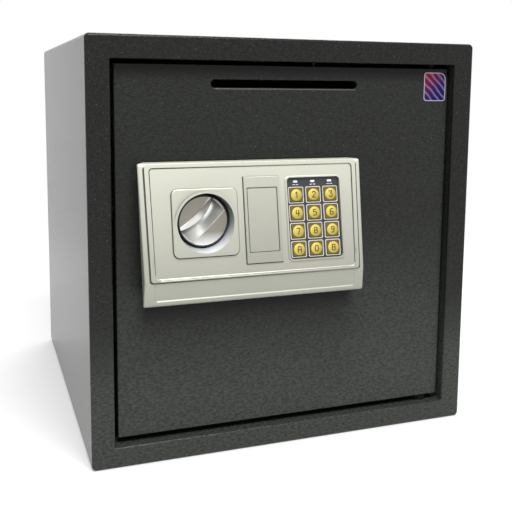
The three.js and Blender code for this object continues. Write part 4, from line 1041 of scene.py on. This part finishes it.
class SAFE_OT_fascia(bpy.types.Operator):
    """Moulds the silver fascia: wings, bordered panel, knob well, recesses and band"""

    bl_idname = "safe.fascia"
    bl_label = "Lock fascia"

    def execute(self, context):
        sizes = context.scene.safe_sizes
        depth = sizes.panel_depth
        back = DOOR_Y - 2.6 * MM
        mesh = bmesh.new()
        fascia_hull(mesh, 0.0, back, edge=1.7 * MM)
        fascia = piece("fascia_shell", mesh, ["fascia_silver"])
        self.carve_panel(fascia, back, depth)
        self.carve_openings(fascia, back, depth, sizes.pad_raise)
        self.carve_band(fascia)
        self.pick_finishes(fascia, depth)
        carry(fascia, "door", "fascia_silver", "lock_fascia")
        return {"FINISHED"}

    def carve_panel(self, fascia, back, depth):
        """Hollows the fascia, sets the border in its moat, sinks the panel, and cuts the groove round it."""
        wall = 2.2 * MM
        slope_run = 1.7 * MM
        room = solid(lambda tool: fascia_hull(tool, wall, back + 4 * MM, edge=0.3 * MM))
        border = face_outline(BORDER_MARGIN, 0.2 * MM, FACE_LENGTH - 0.15 * MM, corner=2.6 * MM)
        moat = face_outline(MOAT_MARGIN, MOAT_FOOT, MOAT_TOP, corner=2.4 * MM)
        carved(fascia, [room, on_face(moat, front=1 * MM, back=-MOAT_DEPTH)])
        carved(fascia, [on_face(border, front=0.0, back=-3.4 * MM, edge=0.35 * MM)], "UNION")

        flare = 0.25 * MM
        panel = face_outline(PANEL_MARGIN, PANEL_FOOT, PANEL_TOP, PANEL_CORNER)
        slope = face_outline(PANEL_MARGIN + slope_run - flare, PANEL_FOOT, 20 * MM, PANEL_CORNER, steps=12)
        open_groove = face_outline(PANEL_MARGIN, -20 * MM, PANEL_TOP, PANEL_CORNER)
        groove = groove_round(open_groove, 0.0, -GROOVE_WIDTH, -depth, GROOVE_DEPTH)
        foot = face_outline(2 * MM, -25 * MM, PANEL_FOOT + 3 * MM, corner=0.5 * MM)
        carved(groove, [on_face(foot, front=2 * MM, back=-8 * MM)])
        sink = on_face(panel, front=0.1 * MM, back=-depth, flare=flare)
        carved(fascia, [sink, on_face(slope, front=0.0, back=-depth, flare=slope_run), groove])

    def carve_openings(self, fascia, back, depth, pad_raise):
        """Raises the knob's pad and the keypad's rim, and opens the well, the recesses and the keyhole."""
        pad = middle_outline(PAD_U, PAD_V, PAD_HALF, PAD_HALF, corner=5 * MM, steps=10)
        u0, u1, v0, v1 = KEYPAD_BOX
        grown_box = (u0 - KEYPAD_RIM, u1 + KEYPAD_RIM, v0 - KEYPAD_RIM, v1 + KEYPAD_RIM)
        rim = box_outline(*grown_box, corner=4.2 * MM, steps=10)
        base = -2.4 * MM
        front_y = DOOR_Y - RIDGE_REACH
        wall_y = front_y + 7 * MM
        floor_y = DOOR_Y - 9 * MM
        wall_stations = [(0, wall_y), (25.6 * MM, wall_y), (23.8 * MM, floor_y), (0, floor_y)]
        well_wall = solid(lambda tool: turned(tool, wall_stations, KNOB_X, KNOB_Z, steps=96))
        carved(fascia, [groove_round(pad, 0.7 * MM, 0.0, -depth, GROOVE_DEPTH)])
        pad_block = on_face(pad, front=pad_raise - depth, back=base, edge=0.7 * MM)
        rim_block = on_face(rim, front=0.25 * MM, back=base, edge=0.5 * MM)
        carved(fascia, [pad_block, rim_block, well_wall], "UNION")

        floor_radius = 22 * MM
        behind = back + 1 * MM
        well_stations = [
            (0, front_y), (24.2 * MM, front_y), (floor_radius, floor_y), (floor_radius, behind), (0, behind)]
        well = solid(lambda tool: turned(tool, well_stations, KNOB_X, KNOB_Z, steps=128))
        cover = box_outline(*COVER_RECESS, corner=0.6 * MM, steps=4)
        keypad = box_outline(*KEYPAD_BOX, corner=3 * MM, steps=10)
        cover_room = on_face(cover, front=4 * MM, back=-2.1 * MM)
        keypad_room = on_face(keypad, front=4 * MM, back=-9 * MM)
        keyhole = solid(lambda tool: bar(tool, 7.4 * MM, front_y, back, LOCK_X, LOCK_Z, steps=64))
        carved(fascia, [well, cover_room, keypad_room, keyhole])

    def carve_band(self, fascia):
        """Sinks the shallow recess in the band under the ridge."""
        angle = math.atan2(RIDGE_REACH - WING_STEP / math.cos(LEAN) - BOTTOM_REACH, BAND_HEIGHT)
        foot = Matrix.Translation((FACE_X, DOOR_Y - BOTTOM_REACH, FASCIA_LOW.z))
        turn = foot @ Matrix.Rotation(angle, 4, "X")
        half = RIDGE_HALF - PANEL_MARGIN
        band = box_outline(-half, half, 5.1 * MM, 18.6 * MM, corner=1.6 * MM, steps=8)
        carved(fascia, [on_face(band, front=0.02 * MM, back=-0.6 * MM, flare=0.9 * MM, turn=turn)])

    def pick_finishes(self, fascia, depth):
        """Painted shade in the moat and round the sunk panel, painted light and shade on the well's wall,
        and painted highlights on edges that look up.
        """
        add_finishes(fascia, "groove", "silver_painted_highlight", "well")
        pad_edge = 2 * MM
        well_reach = 26 * MM
        for face, u, w, v, looks_up in faces_on_lock(fascia):
            border_half = RIDGE_HALF - BORDER_MARGIN + (TOP_HALF - RIDGE_HALF) * v / FACE_LENGTH
            in_moat = (
                -MOAT_DEPTH - 0.1 * MM < w < -WING_STEP - 0.1 * MM and abs(u) < border_half + 1.25 * MM
                and MOAT_FOOT < v < MOAT_TOP + 0.1 * MM)
            in_panel = -MOAT_DEPTH < w < -depth - 0.05 * MM and v > 3 * MM and abs(u) < border_half - 3 * MM
            at_keypad = KEYPAD_BOX[0] - KEYPAD_RIM < u < KEYPAD_BOX[1] + KEYPAD_RIM
            at_well = math.hypot(u - PAD_U, v - PAD_V) < well_reach
            over_pad = abs(u - PAD_U) < PAD_HALF - pad_edge and abs(v - PAD_V - PAD_HALF) < pad_edge
            if (in_moat or in_panel) and not (at_well or at_keypad or over_pad):
                face.material_index = 1
            elif at_well and abs(face.normal.y) < 0.5:
                face.material_index = 3
            elif looks_up and not at_well:
                face.material_index = 2


class SAFE_OT_knob(bpy.types.Operator):
    """Makes the knob: a disc with a raised grip from lower left to upper right"""

    bl_idname = "safe.knob"
    bl_label = "Knob"

    def execute(self, context):
        crest = context.scene.safe_sizes.grip_crest
        radius = 21.1 * MM
        back_radius = 8 * MM
        face_y = DOOR_Y - 16.8 * MM
        toe_step = 0.7 * MM
        bulge_height = 1.2 * MM
        bulge_at = 0.14

        def height(s, t):
            """Height of the grip at s along it and t across it: a steep flank, then a slope to its toe."""
            arch = max(0.0, 1 - (s / GRIP_HALF) ** 2)
            foot = GRIP_FOOT[0] + GRIP_FOOT[1] * arch
            ridge = GRIP_CREST[0] + GRIP_CREST[1] * arch
            if not foot < t < GRIP_TOE:
                return 0.0
            top = crest * arch ** 0.85
            if t < ridge:
                return top * ((t - foot) / (ridge - foot)) ** 1.5
            down = (t - ridge) / (GRIP_TOE - ridge)
            roll = max(0.0, 0.25 + s / GRIP_HALF)
            bulge = bulge_height * roll * arch * down / bulge_at * math.exp(1 - down / bulge_at)
            return top * (1 - down) ** 1.15 + bulge - toe_step * down ** 0.5

        mesh = bmesh.new()

        def top(s, t):
            """A point of the front: s along the grip to the upper right, t across it to the lower right."""
            x = KNOB_X + (s + t) / math.sqrt(2)
            z = KNOB_Z + (s - t) / math.sqrt(2)
            return mesh.verts.new((x, face_y - height(s, t), z))

        # Rows lie across the grip, closer on its flank and at its toe.
        rows = [KNOB_FLAT * math.sin(math.pi * (k / 56 - 0.5)) for k in range(1, 56)]
        rows = [t for t in rows if abs(t - GRIP_TOE) > 0.3 * MM] + [GRIP_TOE - 0.12 * MM, GRIP_TOE]
        rows = sorted(rows + [-9.2 * MM + 3.4 * MM * k / 26 for k in range(27)])
        columns = 60
        grid = []
        for t in rows:
            chord = math.sqrt(KNOB_FLAT * KNOB_FLAT - t * t)
            grid.append([
                top(chord * math.sin(math.pi * (k / columns - 0.5)), t) for k in range(columns + 1)])
        ends = (top(0, -KNOB_FLAT), top(0, KNOB_FLAT))
        for one, other in zip(grid, grid[1:]):
            for k in range(columns):
                mesh.faces.new((one[k], one[k + 1], other[k + 1], other[k]))
        for end, row in ((ends[0], grid[0]), (ends[1], grid[-1])):
            for k in range(columns):
                mesh.faces.new((end, row[k], row[k + 1]))

        rim = [ends[0]] + [row[-1] for row in grid] + [ends[1]] + [row[0] for row in reversed(grid)]
        angles = [math.atan2(v.co.z - KNOB_Z, v.co.x - KNOB_X) for v in rim]
        rings = [rim]
        # Radius and distance behind the face, round the rim to the back
        for ring_radius, behind in (
                (19.95 * MM, 0.25 * MM), (20.7 * MM, 0.3 * MM), (radius, 0.7 * MM), (radius, 4.6 * MM),
                (radius - 0.2 * MM, 4.8 * MM), (back_radius, 4.8 * MM),
                (back_radius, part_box("knob")[1].y - face_y)):
            rings.append(ring_of(mesh, [
                (KNOB_X + ring_radius * math.cos(a), face_y + behind, KNOB_Z + ring_radius * math.sin(a))
                for a in angles]))
        join_rings(mesh, rings)
        mesh.faces.new(rings[-1])

        def pick(face):
            """Metal for the face, black for the rim and what is behind it."""
            middle = face.calc_center_median()
            away = math.hypot(middle.x - KNOB_X, middle.z - KNOB_Z)
            return int(away > KNOB_FLAT or middle.y > face_y + 2 * MM)

        knob = piece("knob_cap", mesh, ["knob_face", "black_plastic"], angle=34.0, picks=pick)
        carry(knob, "knob_set", "knob_metal", "knob")
        return {"FINISHED"}


class SAFE_OT_key_cover(bpy.types.Operator):
    """Makes the cap over the keyhole, with its sunk panel"""

    bl_idname = "safe.key_cover"
    bl_label = "Key cover"

    def execute(self, context):
        outline = box_outline(*COVER_BOX, corner=0.6 * MM, steps=5)
        panel = box_outline(*COVER_PANEL, corner=0.5 * MM, steps=5)
        front = 0.5 * MM
        floor = -0.1 * MM
        groove_depth = 0.4 * MM
        mesh = bmesh.new()
        plate(mesh, outline, [], front, back=-1.8 * MM, edge=0.4 * MM)
        cover = piece("key_cover_lid", mesh, ["cover"], FACE)
        sink = on_face(panel, front + 0.1 * MM, floor, flare=0.3 * MM)
        carved(cover, [sink, groove_round(panel, 0.0, -0.6 * MM, floor, groove_depth)])
        # Painted shade in the groove round the sunk panel, and painted highlights on faces that look up.
        add_finishes(cover, "groove", "silver_painted_highlight")
        for face, _, w, _, looks_up in faces_on_lock(cover):
            if floor - groove_depth - 0.1 * MM < w < floor - 0.05 * MM:
                face.material_index = 1
            elif looks_up and w > floor:
                face.material_index = 2
        carry(cover, "key_cover_cap", "fascia_silver", "key_cover")
        return {"FINISHED"}


def key_places():
    """Each key with its place across and up the face."""
    return [
        (label, KEY_FIRST[0] + KEY_PITCH[0] * (i % 3), KEY_FIRST[1] + KEY_PITCH[1] * (i // 3))
        for i, label in enumerate(KEY_LABELS)]


def square(u, v, size, corner, steps=4):
    return middle_outline(u, v, size / 2, size / 2, corner, steps)


class SAFE_OT_keypad(bpy.types.Operator):
    """Makes the dark keypad plate with a raised border round each key, and the lamps over the keys"""

    bl_idname = "safe.keypad"
    bl_label = "Keypad"

    def execute(self, context):
        outline = box_outline(*KEYPAD_PLATE, corner=2.7 * MM, steps=10)
        holes = [square(u, v, KEY_HOLE, KEY_HOLE_CORNER) for _, u, v in key_places()]
        lamps = [u for _, u, _ in key_places()[:3]]
        holes += [middle_outline(u, LAMP_V, 2.3 * MM, 1.25 * MM, corner=0.6 * MM) for u in lamps]
        mesh = bmesh.new()
        plate(mesh, outline, holes, PLATE_TOP, PLATE_TOP - 1.5 * MM, edge=0.12 * MM, steps=2)
        pad = piece("keypad_panel", mesh, ["keypad_dark", "bezel"], FACE)

        def borders(tool):
            for _, u, v in key_places():
                outer = square(u, v, 13.7 * MM, corner=1.3 * MM)
                inner = square(u, v, KEY_HOLE, KEY_HOLE_CORNER)
                front = PLATE_TOP + 0.35 * MM
                plate(tool, outer, [inner], front, PLATE_TOP - 0.6 * MM, edge=0.25 * MM, steps=3)

        def dashes(tool):
            for u in lamps:
                for middle in (u - 1.5 * MM, u + 1.5 * MM):
                    dash = middle_outline(
                        middle, LAMP_V - 2.6 * MM, 1.2 * MM, 0.3 * MM, corner=0.25 * MM, steps=2)
                    plate(tool, dash, [], PLATE_TOP + 0.05 * MM, PLATE_TOP - 0.3 * MM)

        carved(pad, [solid(borders, FACE), solid(dashes, FACE)], "UNION")
        for face, _, w, _, _ in faces_on_lock(pad):
            face.material_index = int(w > PLATE_TOP + 0.02 * MM)
        carry(pad, "door", "keypad_dark", "keypad_plate")
        for side, u in zip(("left", "middle", "right"), lamps):
            mesh = bmesh.new()
            window = middle_outline(u, LAMP_V, 2 * MM, 0.95 * MM, corner=0.6 * MM, steps=5)
            plate(mesh, window, [], PLATE_TOP + 0.2 * MM, PLATE_TOP - 4 * MM, edge=0.3 * MM)
            lamp = piece(f"lamp_window_{side}", mesh, ["lamp_white"], FACE)
            carry(lamp, "door", "lamp_white", f"status_lamp_{side}")
        return {"FINISHED"}


def dome_height(across):
    """Height of a key's dome over the key's flat, at a distance from its middle."""
    share = min(1.0, across / DOME_RADIUS)
    return DOME_STEP + (DOME_HEIGHT - DOME_STEP) * (1 - share ** 2)


def key_dome(u, v, raise_by):
    """A bare solid with a key's dome on it, raised over the real one."""
    heart = 0.8 * MM - KEY_TOP
    stations = [(0, -(KEY_TOP + DOME_HEIGHT + raise_by))]
    for a in quarter(12)[1:]:
        across = DOME_RADIUS * math.sin(a)
        stations.append((across, -(KEY_TOP + dome_height(across) + raise_by)))
    stations += [(DOME_RADIUS, heart), (0, heart)]
    return solid(lambda tool: turned(tool, stations, u, v, steps=48), FACE)


def figure_strokes(label, u, v, front, back):
    """Bare solids for the strokes of a figure, round at their ends."""
    def on_key(spot):
        return Vector((u + (spot[0] / 2 - 0.5) * FIGURE_WIDTH, v + (spot[1] / 4 - 0.5) * FIGURE_HEIGHT))

    made = []
    for line in FIGURES[label]:
        for start, end in zip(line, line[1:]):
            here = on_key(start)
            there = on_key(end)
            along = (there - here).normalized() * STROKE / 2
            aside = Vector((-along.y, along.x))
            corners = (
                here - along - aside, there + along - aside, there + along + aside, here - along + aside)
            outline = offset_outline([tuple(corner) for corner in corners], STROKE / 2, steps=4)
            made.append(on_face(outline, front, back))
    return made


class SAFE_OT_keys(bpy.types.Operator):
    """Makes the twelve gold keys with their domes and figures"""

    bl_idname = "safe.keys"
    bl_label = "Keys"

    def execute(self, context):
        for label, u, v in key_places():
            mesh = bmesh.new()
            outline = square(u, v, 11.3 * MM, corner=1.1 * MM, steps=5)
            plate(mesh, outline, [], KEY_TOP, back=-4.5 * MM, edge=0.4 * MM)
            key = piece(f"key_cap_{label}", mesh, ["key_edge", "key_gold", "ink"], FACE)
            strokes = figure_strokes(label, u, v, KEY_TOP + 2 * MM, KEY_TOP - 0.5 * MM)
            strokes = carved(strokes[0], strokes[1:], "UNION")
            figure = carved(key_dome(u, v, PRINT_HEIGHT), [strokes], "INTERSECT")
            carved(key, [key_dome(u, v, 0.0)], "UNION")
            carved(key, [figure], "UNION")
            for face, across, w, up, _ in faces_on_lock(key):
                away = math.hypot(across - u, up - v)
                over = w - KEY_TOP
                if over > dome_height(away) + PRINT_HEIGHT / 2:
                    face.material_index = 2
                else:
                    face.material_index = int(away < DOME_RADIUS and over > DOME_STEP / 4)
            carry(key, f"press_{label}", "key_gold", f"key_{label}")
        return {"FINISHED"}


class SAFE_OT_sticker(bpy.types.Operator):
    """Puts a plain sticker with bands of colour at the door's top right corner"""

    bl_idname = "safe.sticker"
    bl_label = "Sticker"

    def execute(self, context):
        left, right = STICKER_X - STICKER_HALF_X, STICKER_X + STICKER_HALF_X
        low, high = STICKER_Z - STICKER_HALF_Z, STICKER_Z + STICKER_HALF_Z
        corners = [(left, low), (right, low), (right, high, STICKER_WIDE_CORNER), (left, high)]
        outline = offset_outline(corners, STICKER_CORNER, steps=10)
        mesh = bmesh.new()
        plate(mesh, outline, [], -DOOR_Y + 0.16 * MM, -DOOR_Y + 0.01 * MM, edge=0.05 * MM, steps=2)
        carry(piece("sticker", mesh, ["sticker"]), "door", "fascia_silver")
        return {"FINISHED"}


class SAFE_OT_mat(bpy.types.Operator):
    """Lays the felt mat on the cabinet's floor"""

    bl_idname = "safe.mat"
    bl_label = "Felt mat"

    def execute(self, context):
        low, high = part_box("floor_mat")
        inset = 0.6 * MM
        width = high.x - low.x - 2 * inset
        depth = high.y - low.y - 2 * inset
        ripple_height = 0.12 * MM
        columns = 72
        rows = 68
        mesh = bmesh.new()

        def point(i, j, upper):
            x = low.x + inset + width * i / columns
            y = low.y + inset + depth * j / rows
            at_edge = min(i, j, columns - i, rows - j) == 0
            if upper:
                ripple = ripple_height * (math.sin(x * 61 + y * 23) + math.sin(y * 47 - x * 31 + 1.7))
                z = high.z - 0.3 * MM + ripple - (0.7 * MM if at_edge else 0)
            else:
                z = low.z + 0.02 * MM + (0.4 * MM if at_edge else 0)
            return mesh.verts.new((x, y, z))

        rims = []
        for upper in (True, False):
            sheet = [[point(i, j, upper) for j in range(rows + 1)] for i in range(columns + 1)]
            for i in range(columns):
                for j in range(rows):
                    mesh.faces.new((sheet[i][j], sheet[i + 1][j], sheet[i + 1][j + 1], sheet[i][j + 1]))
            rim = [sheet[i][0] for i in range(columns)] + [sheet[columns][j] for j in range(rows)]
            rim += [sheet[i][rows] for i in range(columns, 0, -1)]
            rim += [sheet[0][j] for j in range(rows, 0, -1)]
            rims.append(rim)
        join_rings(mesh, rims)
        mat = piece("felt_mat", mesh, ["mat_felt"], angle=60.0)
        carry(mat, "cabinet", "mat_felt", "floor_mat")
        return {"FINISHED"}


class SAFE_OT_cells(bpy.types.Operator):
    """Makes the four cells with their wraps and metal ends"""

    bl_idname = "safe.cells"
    bl_label = "Cells"

    def execute(self, context):
        # Radius and distance from the flat end, in millimetres
        profile = [
            (0, 0), (4.6, 0), (5.0, 0.15), (5.2, 0.45), (6.3, 0.5), (7.0, 0.65), (7.22, 1.0), (7.22, 48.0),
            (7.0, 48.4), (6.5, 48.5), (6.2, 48.55), (4.2, 48.7), (3.4, 48.8), (2.7, 49.1), (2.65, 50.1),
            (2.4, 50.45), (0, 50.5)]
        bare_radius = 6.9 * MM
        for i in range(1, 5):
            low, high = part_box(f"battery_{i}")
            x, y, _ = middle_of(f"battery_{i}")
            start, way = (low.z, MM) if i % 2 else (high.z, -MM)

            def pick(face):
                """Steel at the ends, film elsewhere."""
                middle = face.calc_center_median()
                return int(math.hypot(middle.x - x, middle.y - y) < bare_radius)

            mesh = bmesh.new()
            turned(mesh, [(radius * MM, start + way * at) for radius, at in profile], x, -y, steps=64)
            cell = piece(f"cell_{i}", mesh, ["cell_wrap", "bright_steel"], TURNED_TO_FRONT, picks=pick)
            carry(cell, "door", "cell_wrap", f"battery_{i}")
        return {"FINISHED"}


class SAFE_OT_screws(bpy.types.Operator):
    """Makes the cover's screws, with a cross cut in each head"""

    bl_idname = "safe.screws"
    bl_label = "Screws"

    def execute(self, context):
        head_radius = 4 * MM
        head_height = 2.4 * MM
        shank = 2 * MM
        cross_half, cross_width, cross_depth = 2.3 * MM, 0.45 * MM, 1.3 * MM
        for i in range(1, 5):
            low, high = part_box(f"cover_screw_{i}")
            x, _, z = middle_of(f"cover_screw_{i}")
            head = high.y
            neck = head - head_height
            stations = [(0, head)]
            for a in quarter(8)[1:]:
                stations.append((head_radius * math.sin(a), head - head_height * (1 - math.cos(a)) * 0.8))
            stations += [(head_radius, neck), (shank, neck), (shank, low.y), (0, low.y)]
            mesh = bmesh.new()
            turned(mesh, stations, x, z, steps=48)
            screw = piece(f"screw_{i}", mesh, ["bright_steel"])

            def cross(tool):
                for half_x, half_z in ((cross_half, cross_width), (cross_width, cross_half)):
                    outline = middle_outline(x, z, half_x, half_z, corner=0.2 * MM, steps=2)
                    plate(tool, outline, [], cross_depth - head, -head - 1 * MM)

            carved(screw, [solid(cross)])
            carry(screw, "door", "bright_steel", f"cover_screw_{i}")
        return {"FINISHED"}


class SAFE_OT_stage(bpy.types.Operator):
    """Sets the pale floor, the soft lamps, the world and the camera"""

    bl_idname = "safe.stage"
    bl_label = "Stage"

    def execute(self, context):
        scene = context.scene
        scene.view_settings.view_transform = "Standard"
        make_floor(scene)
        make_world(scene)
        make_lamps(scene)
        make_camera(scene)
        return {"FINISHED"}


def make_floor(scene):
    """A pale floor that fades to white away from the safe, and keeps its soft shadow."""
    reach = 2.4
    mesh = bmesh.new()
    rings = [
        ring_of(mesh, [(radius * math.cos(a), radius * math.sin(a), 0) for a in whole_turn(96)])
        for radius in (reach, reach / 2, reach / 8)]
    join_rings(mesh, rings)
    mesh.faces.new(rings[-1])
    bmesh.ops.recalc_face_normals(mesh, faces=mesh.faces)
    data = bpy.data.meshes.new("floor")
    mesh.to_mesh(data)
    mesh.free()
    floor = bpy.data.objects.new("floor", data)
    scene.collection.objects.link(floor)
    material = bpy.data.materials.new("pale_floor")
    material.use_nodes = True
    material.node_tree.nodes.clear()
    ground = Nodes(material.node_tree)
    spot = ground.node("ShaderNodeTexCoord", {}, {}, "Object")
    away = ground.node("ShaderNodeVectorMath", {"operation": "LENGTH"}, {0: spot}, "Value")
    fade = ground.spread(away, 0.45, 1.3, "SMOOTHSTEP")
    plain = ground.node("ShaderNodeBsdfDiffuse", {}, {"Color": scene.safe_colours.floor})
    white = ground.node("ShaderNodeEmission", {}, {"Color": (1, 1, 1), "Strength": 1.0})
    both = ground.node(
        "ShaderNodeMixShader", {}, {0: ground.seen() * (0.25 + 0.75 * fade), 1: plain, 2: white})
    ground.node("ShaderNodeOutputMaterial", {}, {"Surface": both}, None)
    data.materials.append(material)


def make_world(scene):
    """Soft light, stronger from above and behind. The camera, mirrors and glass see plain white."""
    world = bpy.data.worlds.new("studio")
    scene.world = world
    world.use_nodes = True
    world.cycles.sampling_method = "NONE"
    world.node_tree.nodes.clear()
    sky = Nodes(world.node_tree)
    spot = sky.node("ShaderNodeTexCoord", {}, {}, "Generated")
    behind = sky.spread(sky.node("ShaderNodeSeparateXYZ", {}, {0: spot}, "Y"), -0.2, 0.6, "SMOOTHSTEP")
    over = sky.spread(sky.node("ShaderNodeSeparateXYZ", {}, {0: spot}, "Z"), 0.0, 0.8, "SMOOTHSTEP")
    soft = sky.node(
        "ShaderNodeBackground", {}, {"Color": (1, 1, 1), "Strength": 0.12 + behind * 0.4 + over * 0.4})
    white = sky.node("ShaderNodeBackground", {}, {"Color": (1, 1, 1), "Strength": 1.0})
    shown = sky.node("ShaderNodeMixShader", {}, {0: sky.seen(), 1: soft, 2: white})
    sky.node("ShaderNodeOutputWorld", {}, {"Surface": shown}, None)


def make_lamps(scene):
    """A key lamp before the safe and a weaker one behind it, both aimed low on the safe."""
    aim = Vector((0, 0, 0.15))
    for name, place, size, power in (
            ("key_lamp", (-0.1, -1.0, 1.65), 0.9, 34),
            ("back_lamp", (0.5, 1.2, 1.4), 1.2, 10)):
        data = bpy.data.lights.new(name, "AREA")
        data.shape = "SQUARE"
        data.size = size
        data.energy = power
        lamp = bpy.data.objects.new(name, data)
        lamp.location = place
        lamp.rotation_mode = "QUATERNION"
        lamp.rotation_quaternion = (Vector(place) - aim).to_track_quat("Z", "Y")
        scene.collection.objects.link(lamp)


def make_camera(scene):
    """The camera that was fitted to the cabinet's corners in the photograph."""
    place = (-0.2531, -0.7805, 0.3103)
    yaw = math.radians(19.878)
    pitch = math.radians(-7.237)
    roll = math.radians(0.503)
    ahead = Vector((math.sin(yaw) * math.cos(pitch), math.cos(yaw) * math.cos(pitch), math.sin(pitch)))
    right = Vector((math.cos(yaw), -math.sin(yaw), 0))
    up = right.cross(ahead)
    leaned_right = right * math.cos(roll) + up * math.sin(roll)
    leaned_up = up * math.cos(roll) - right * math.sin(roll)
    data = bpy.data.cameras.new("camera")
    data.sensor_width = 36
    data.lens = 54.861
    data.shift_y = -0.137
    camera = bpy.data.objects.new("camera", data)
    scene.collection.objects.link(camera)
    turn = Matrix((leaned_right, leaned_up, -ahead)).transposed().to_4x4()
    camera.matrix_world = Matrix.Translation(place) @ turn
    scene.camera = camera


OPERATORS = (
    SAFE_OT_finishes, SAFE_OT_works, SAFE_OT_cabinet, SAFE_OT_door, SAFE_OT_fascia, SAFE_OT_knob,
    SAFE_OT_key_cover, SAFE_OT_keypad, SAFE_OT_keys, SAFE_OT_sticker, SAFE_OT_mat, SAFE_OT_cells,
    SAFE_OT_screws, SAFE_OT_stage)


class SAFE_PT_panel(bpy.types.Panel):
    """Lists the steps that dress the safe, with its sizes and colours"""

    bl_label = "Drop safe"
    bl_idname = "SAFE_PT_panel"
    bl_space_type = "VIEW_3D"
    bl_region_type = "UI"
    bl_category = "Drop safe"

    def draw(self, context):
        for operator in OPERATORS:
            self.layout.operator(operator.bl_idname)
        for group in (context.scene.safe_sizes, context.scene.safe_colours):
            box = self.layout.box()
            for key in group.bl_rna.properties.keys():
                if key not in ("rna_type", "name"):
                    box.prop(group, key)


CLASSES = (SafeColours, SafeSizes, *OPERATORS, SAFE_PT_panel)


def register():
    for each in CLASSES:
        bpy.utils.register_class(each)
    bpy.types.Scene.safe_colours = PointerProperty(type=SafeColours)
    bpy.types.Scene.safe_sizes = PointerProperty(type=SafeSizes)


def unregister():
    del bpy.types.Scene.safe_sizes
    del bpy.types.Scene.safe_colours
    for each in reversed(CLASSES):
        bpy.utils.unregister_class(each)


def main():
    register()
    bpy.ops.safe.finishes()
    bpy.ops.safe.works()
    bpy.ops.safe.cabinet()
    bpy.ops.safe.door()
    bpy.ops.safe.fascia()
    bpy.ops.safe.knob()
    bpy.ops.safe.key_cover()
    bpy.ops.safe.keypad()
    bpy.ops.safe.keys()
    bpy.ops.safe.sticker()
    bpy.ops.safe.mat()
    bpy.ops.safe.cells()
    bpy.ops.safe.screws()
    bpy.ops.safe.stage()


if __name__ == "__main__":
    main()
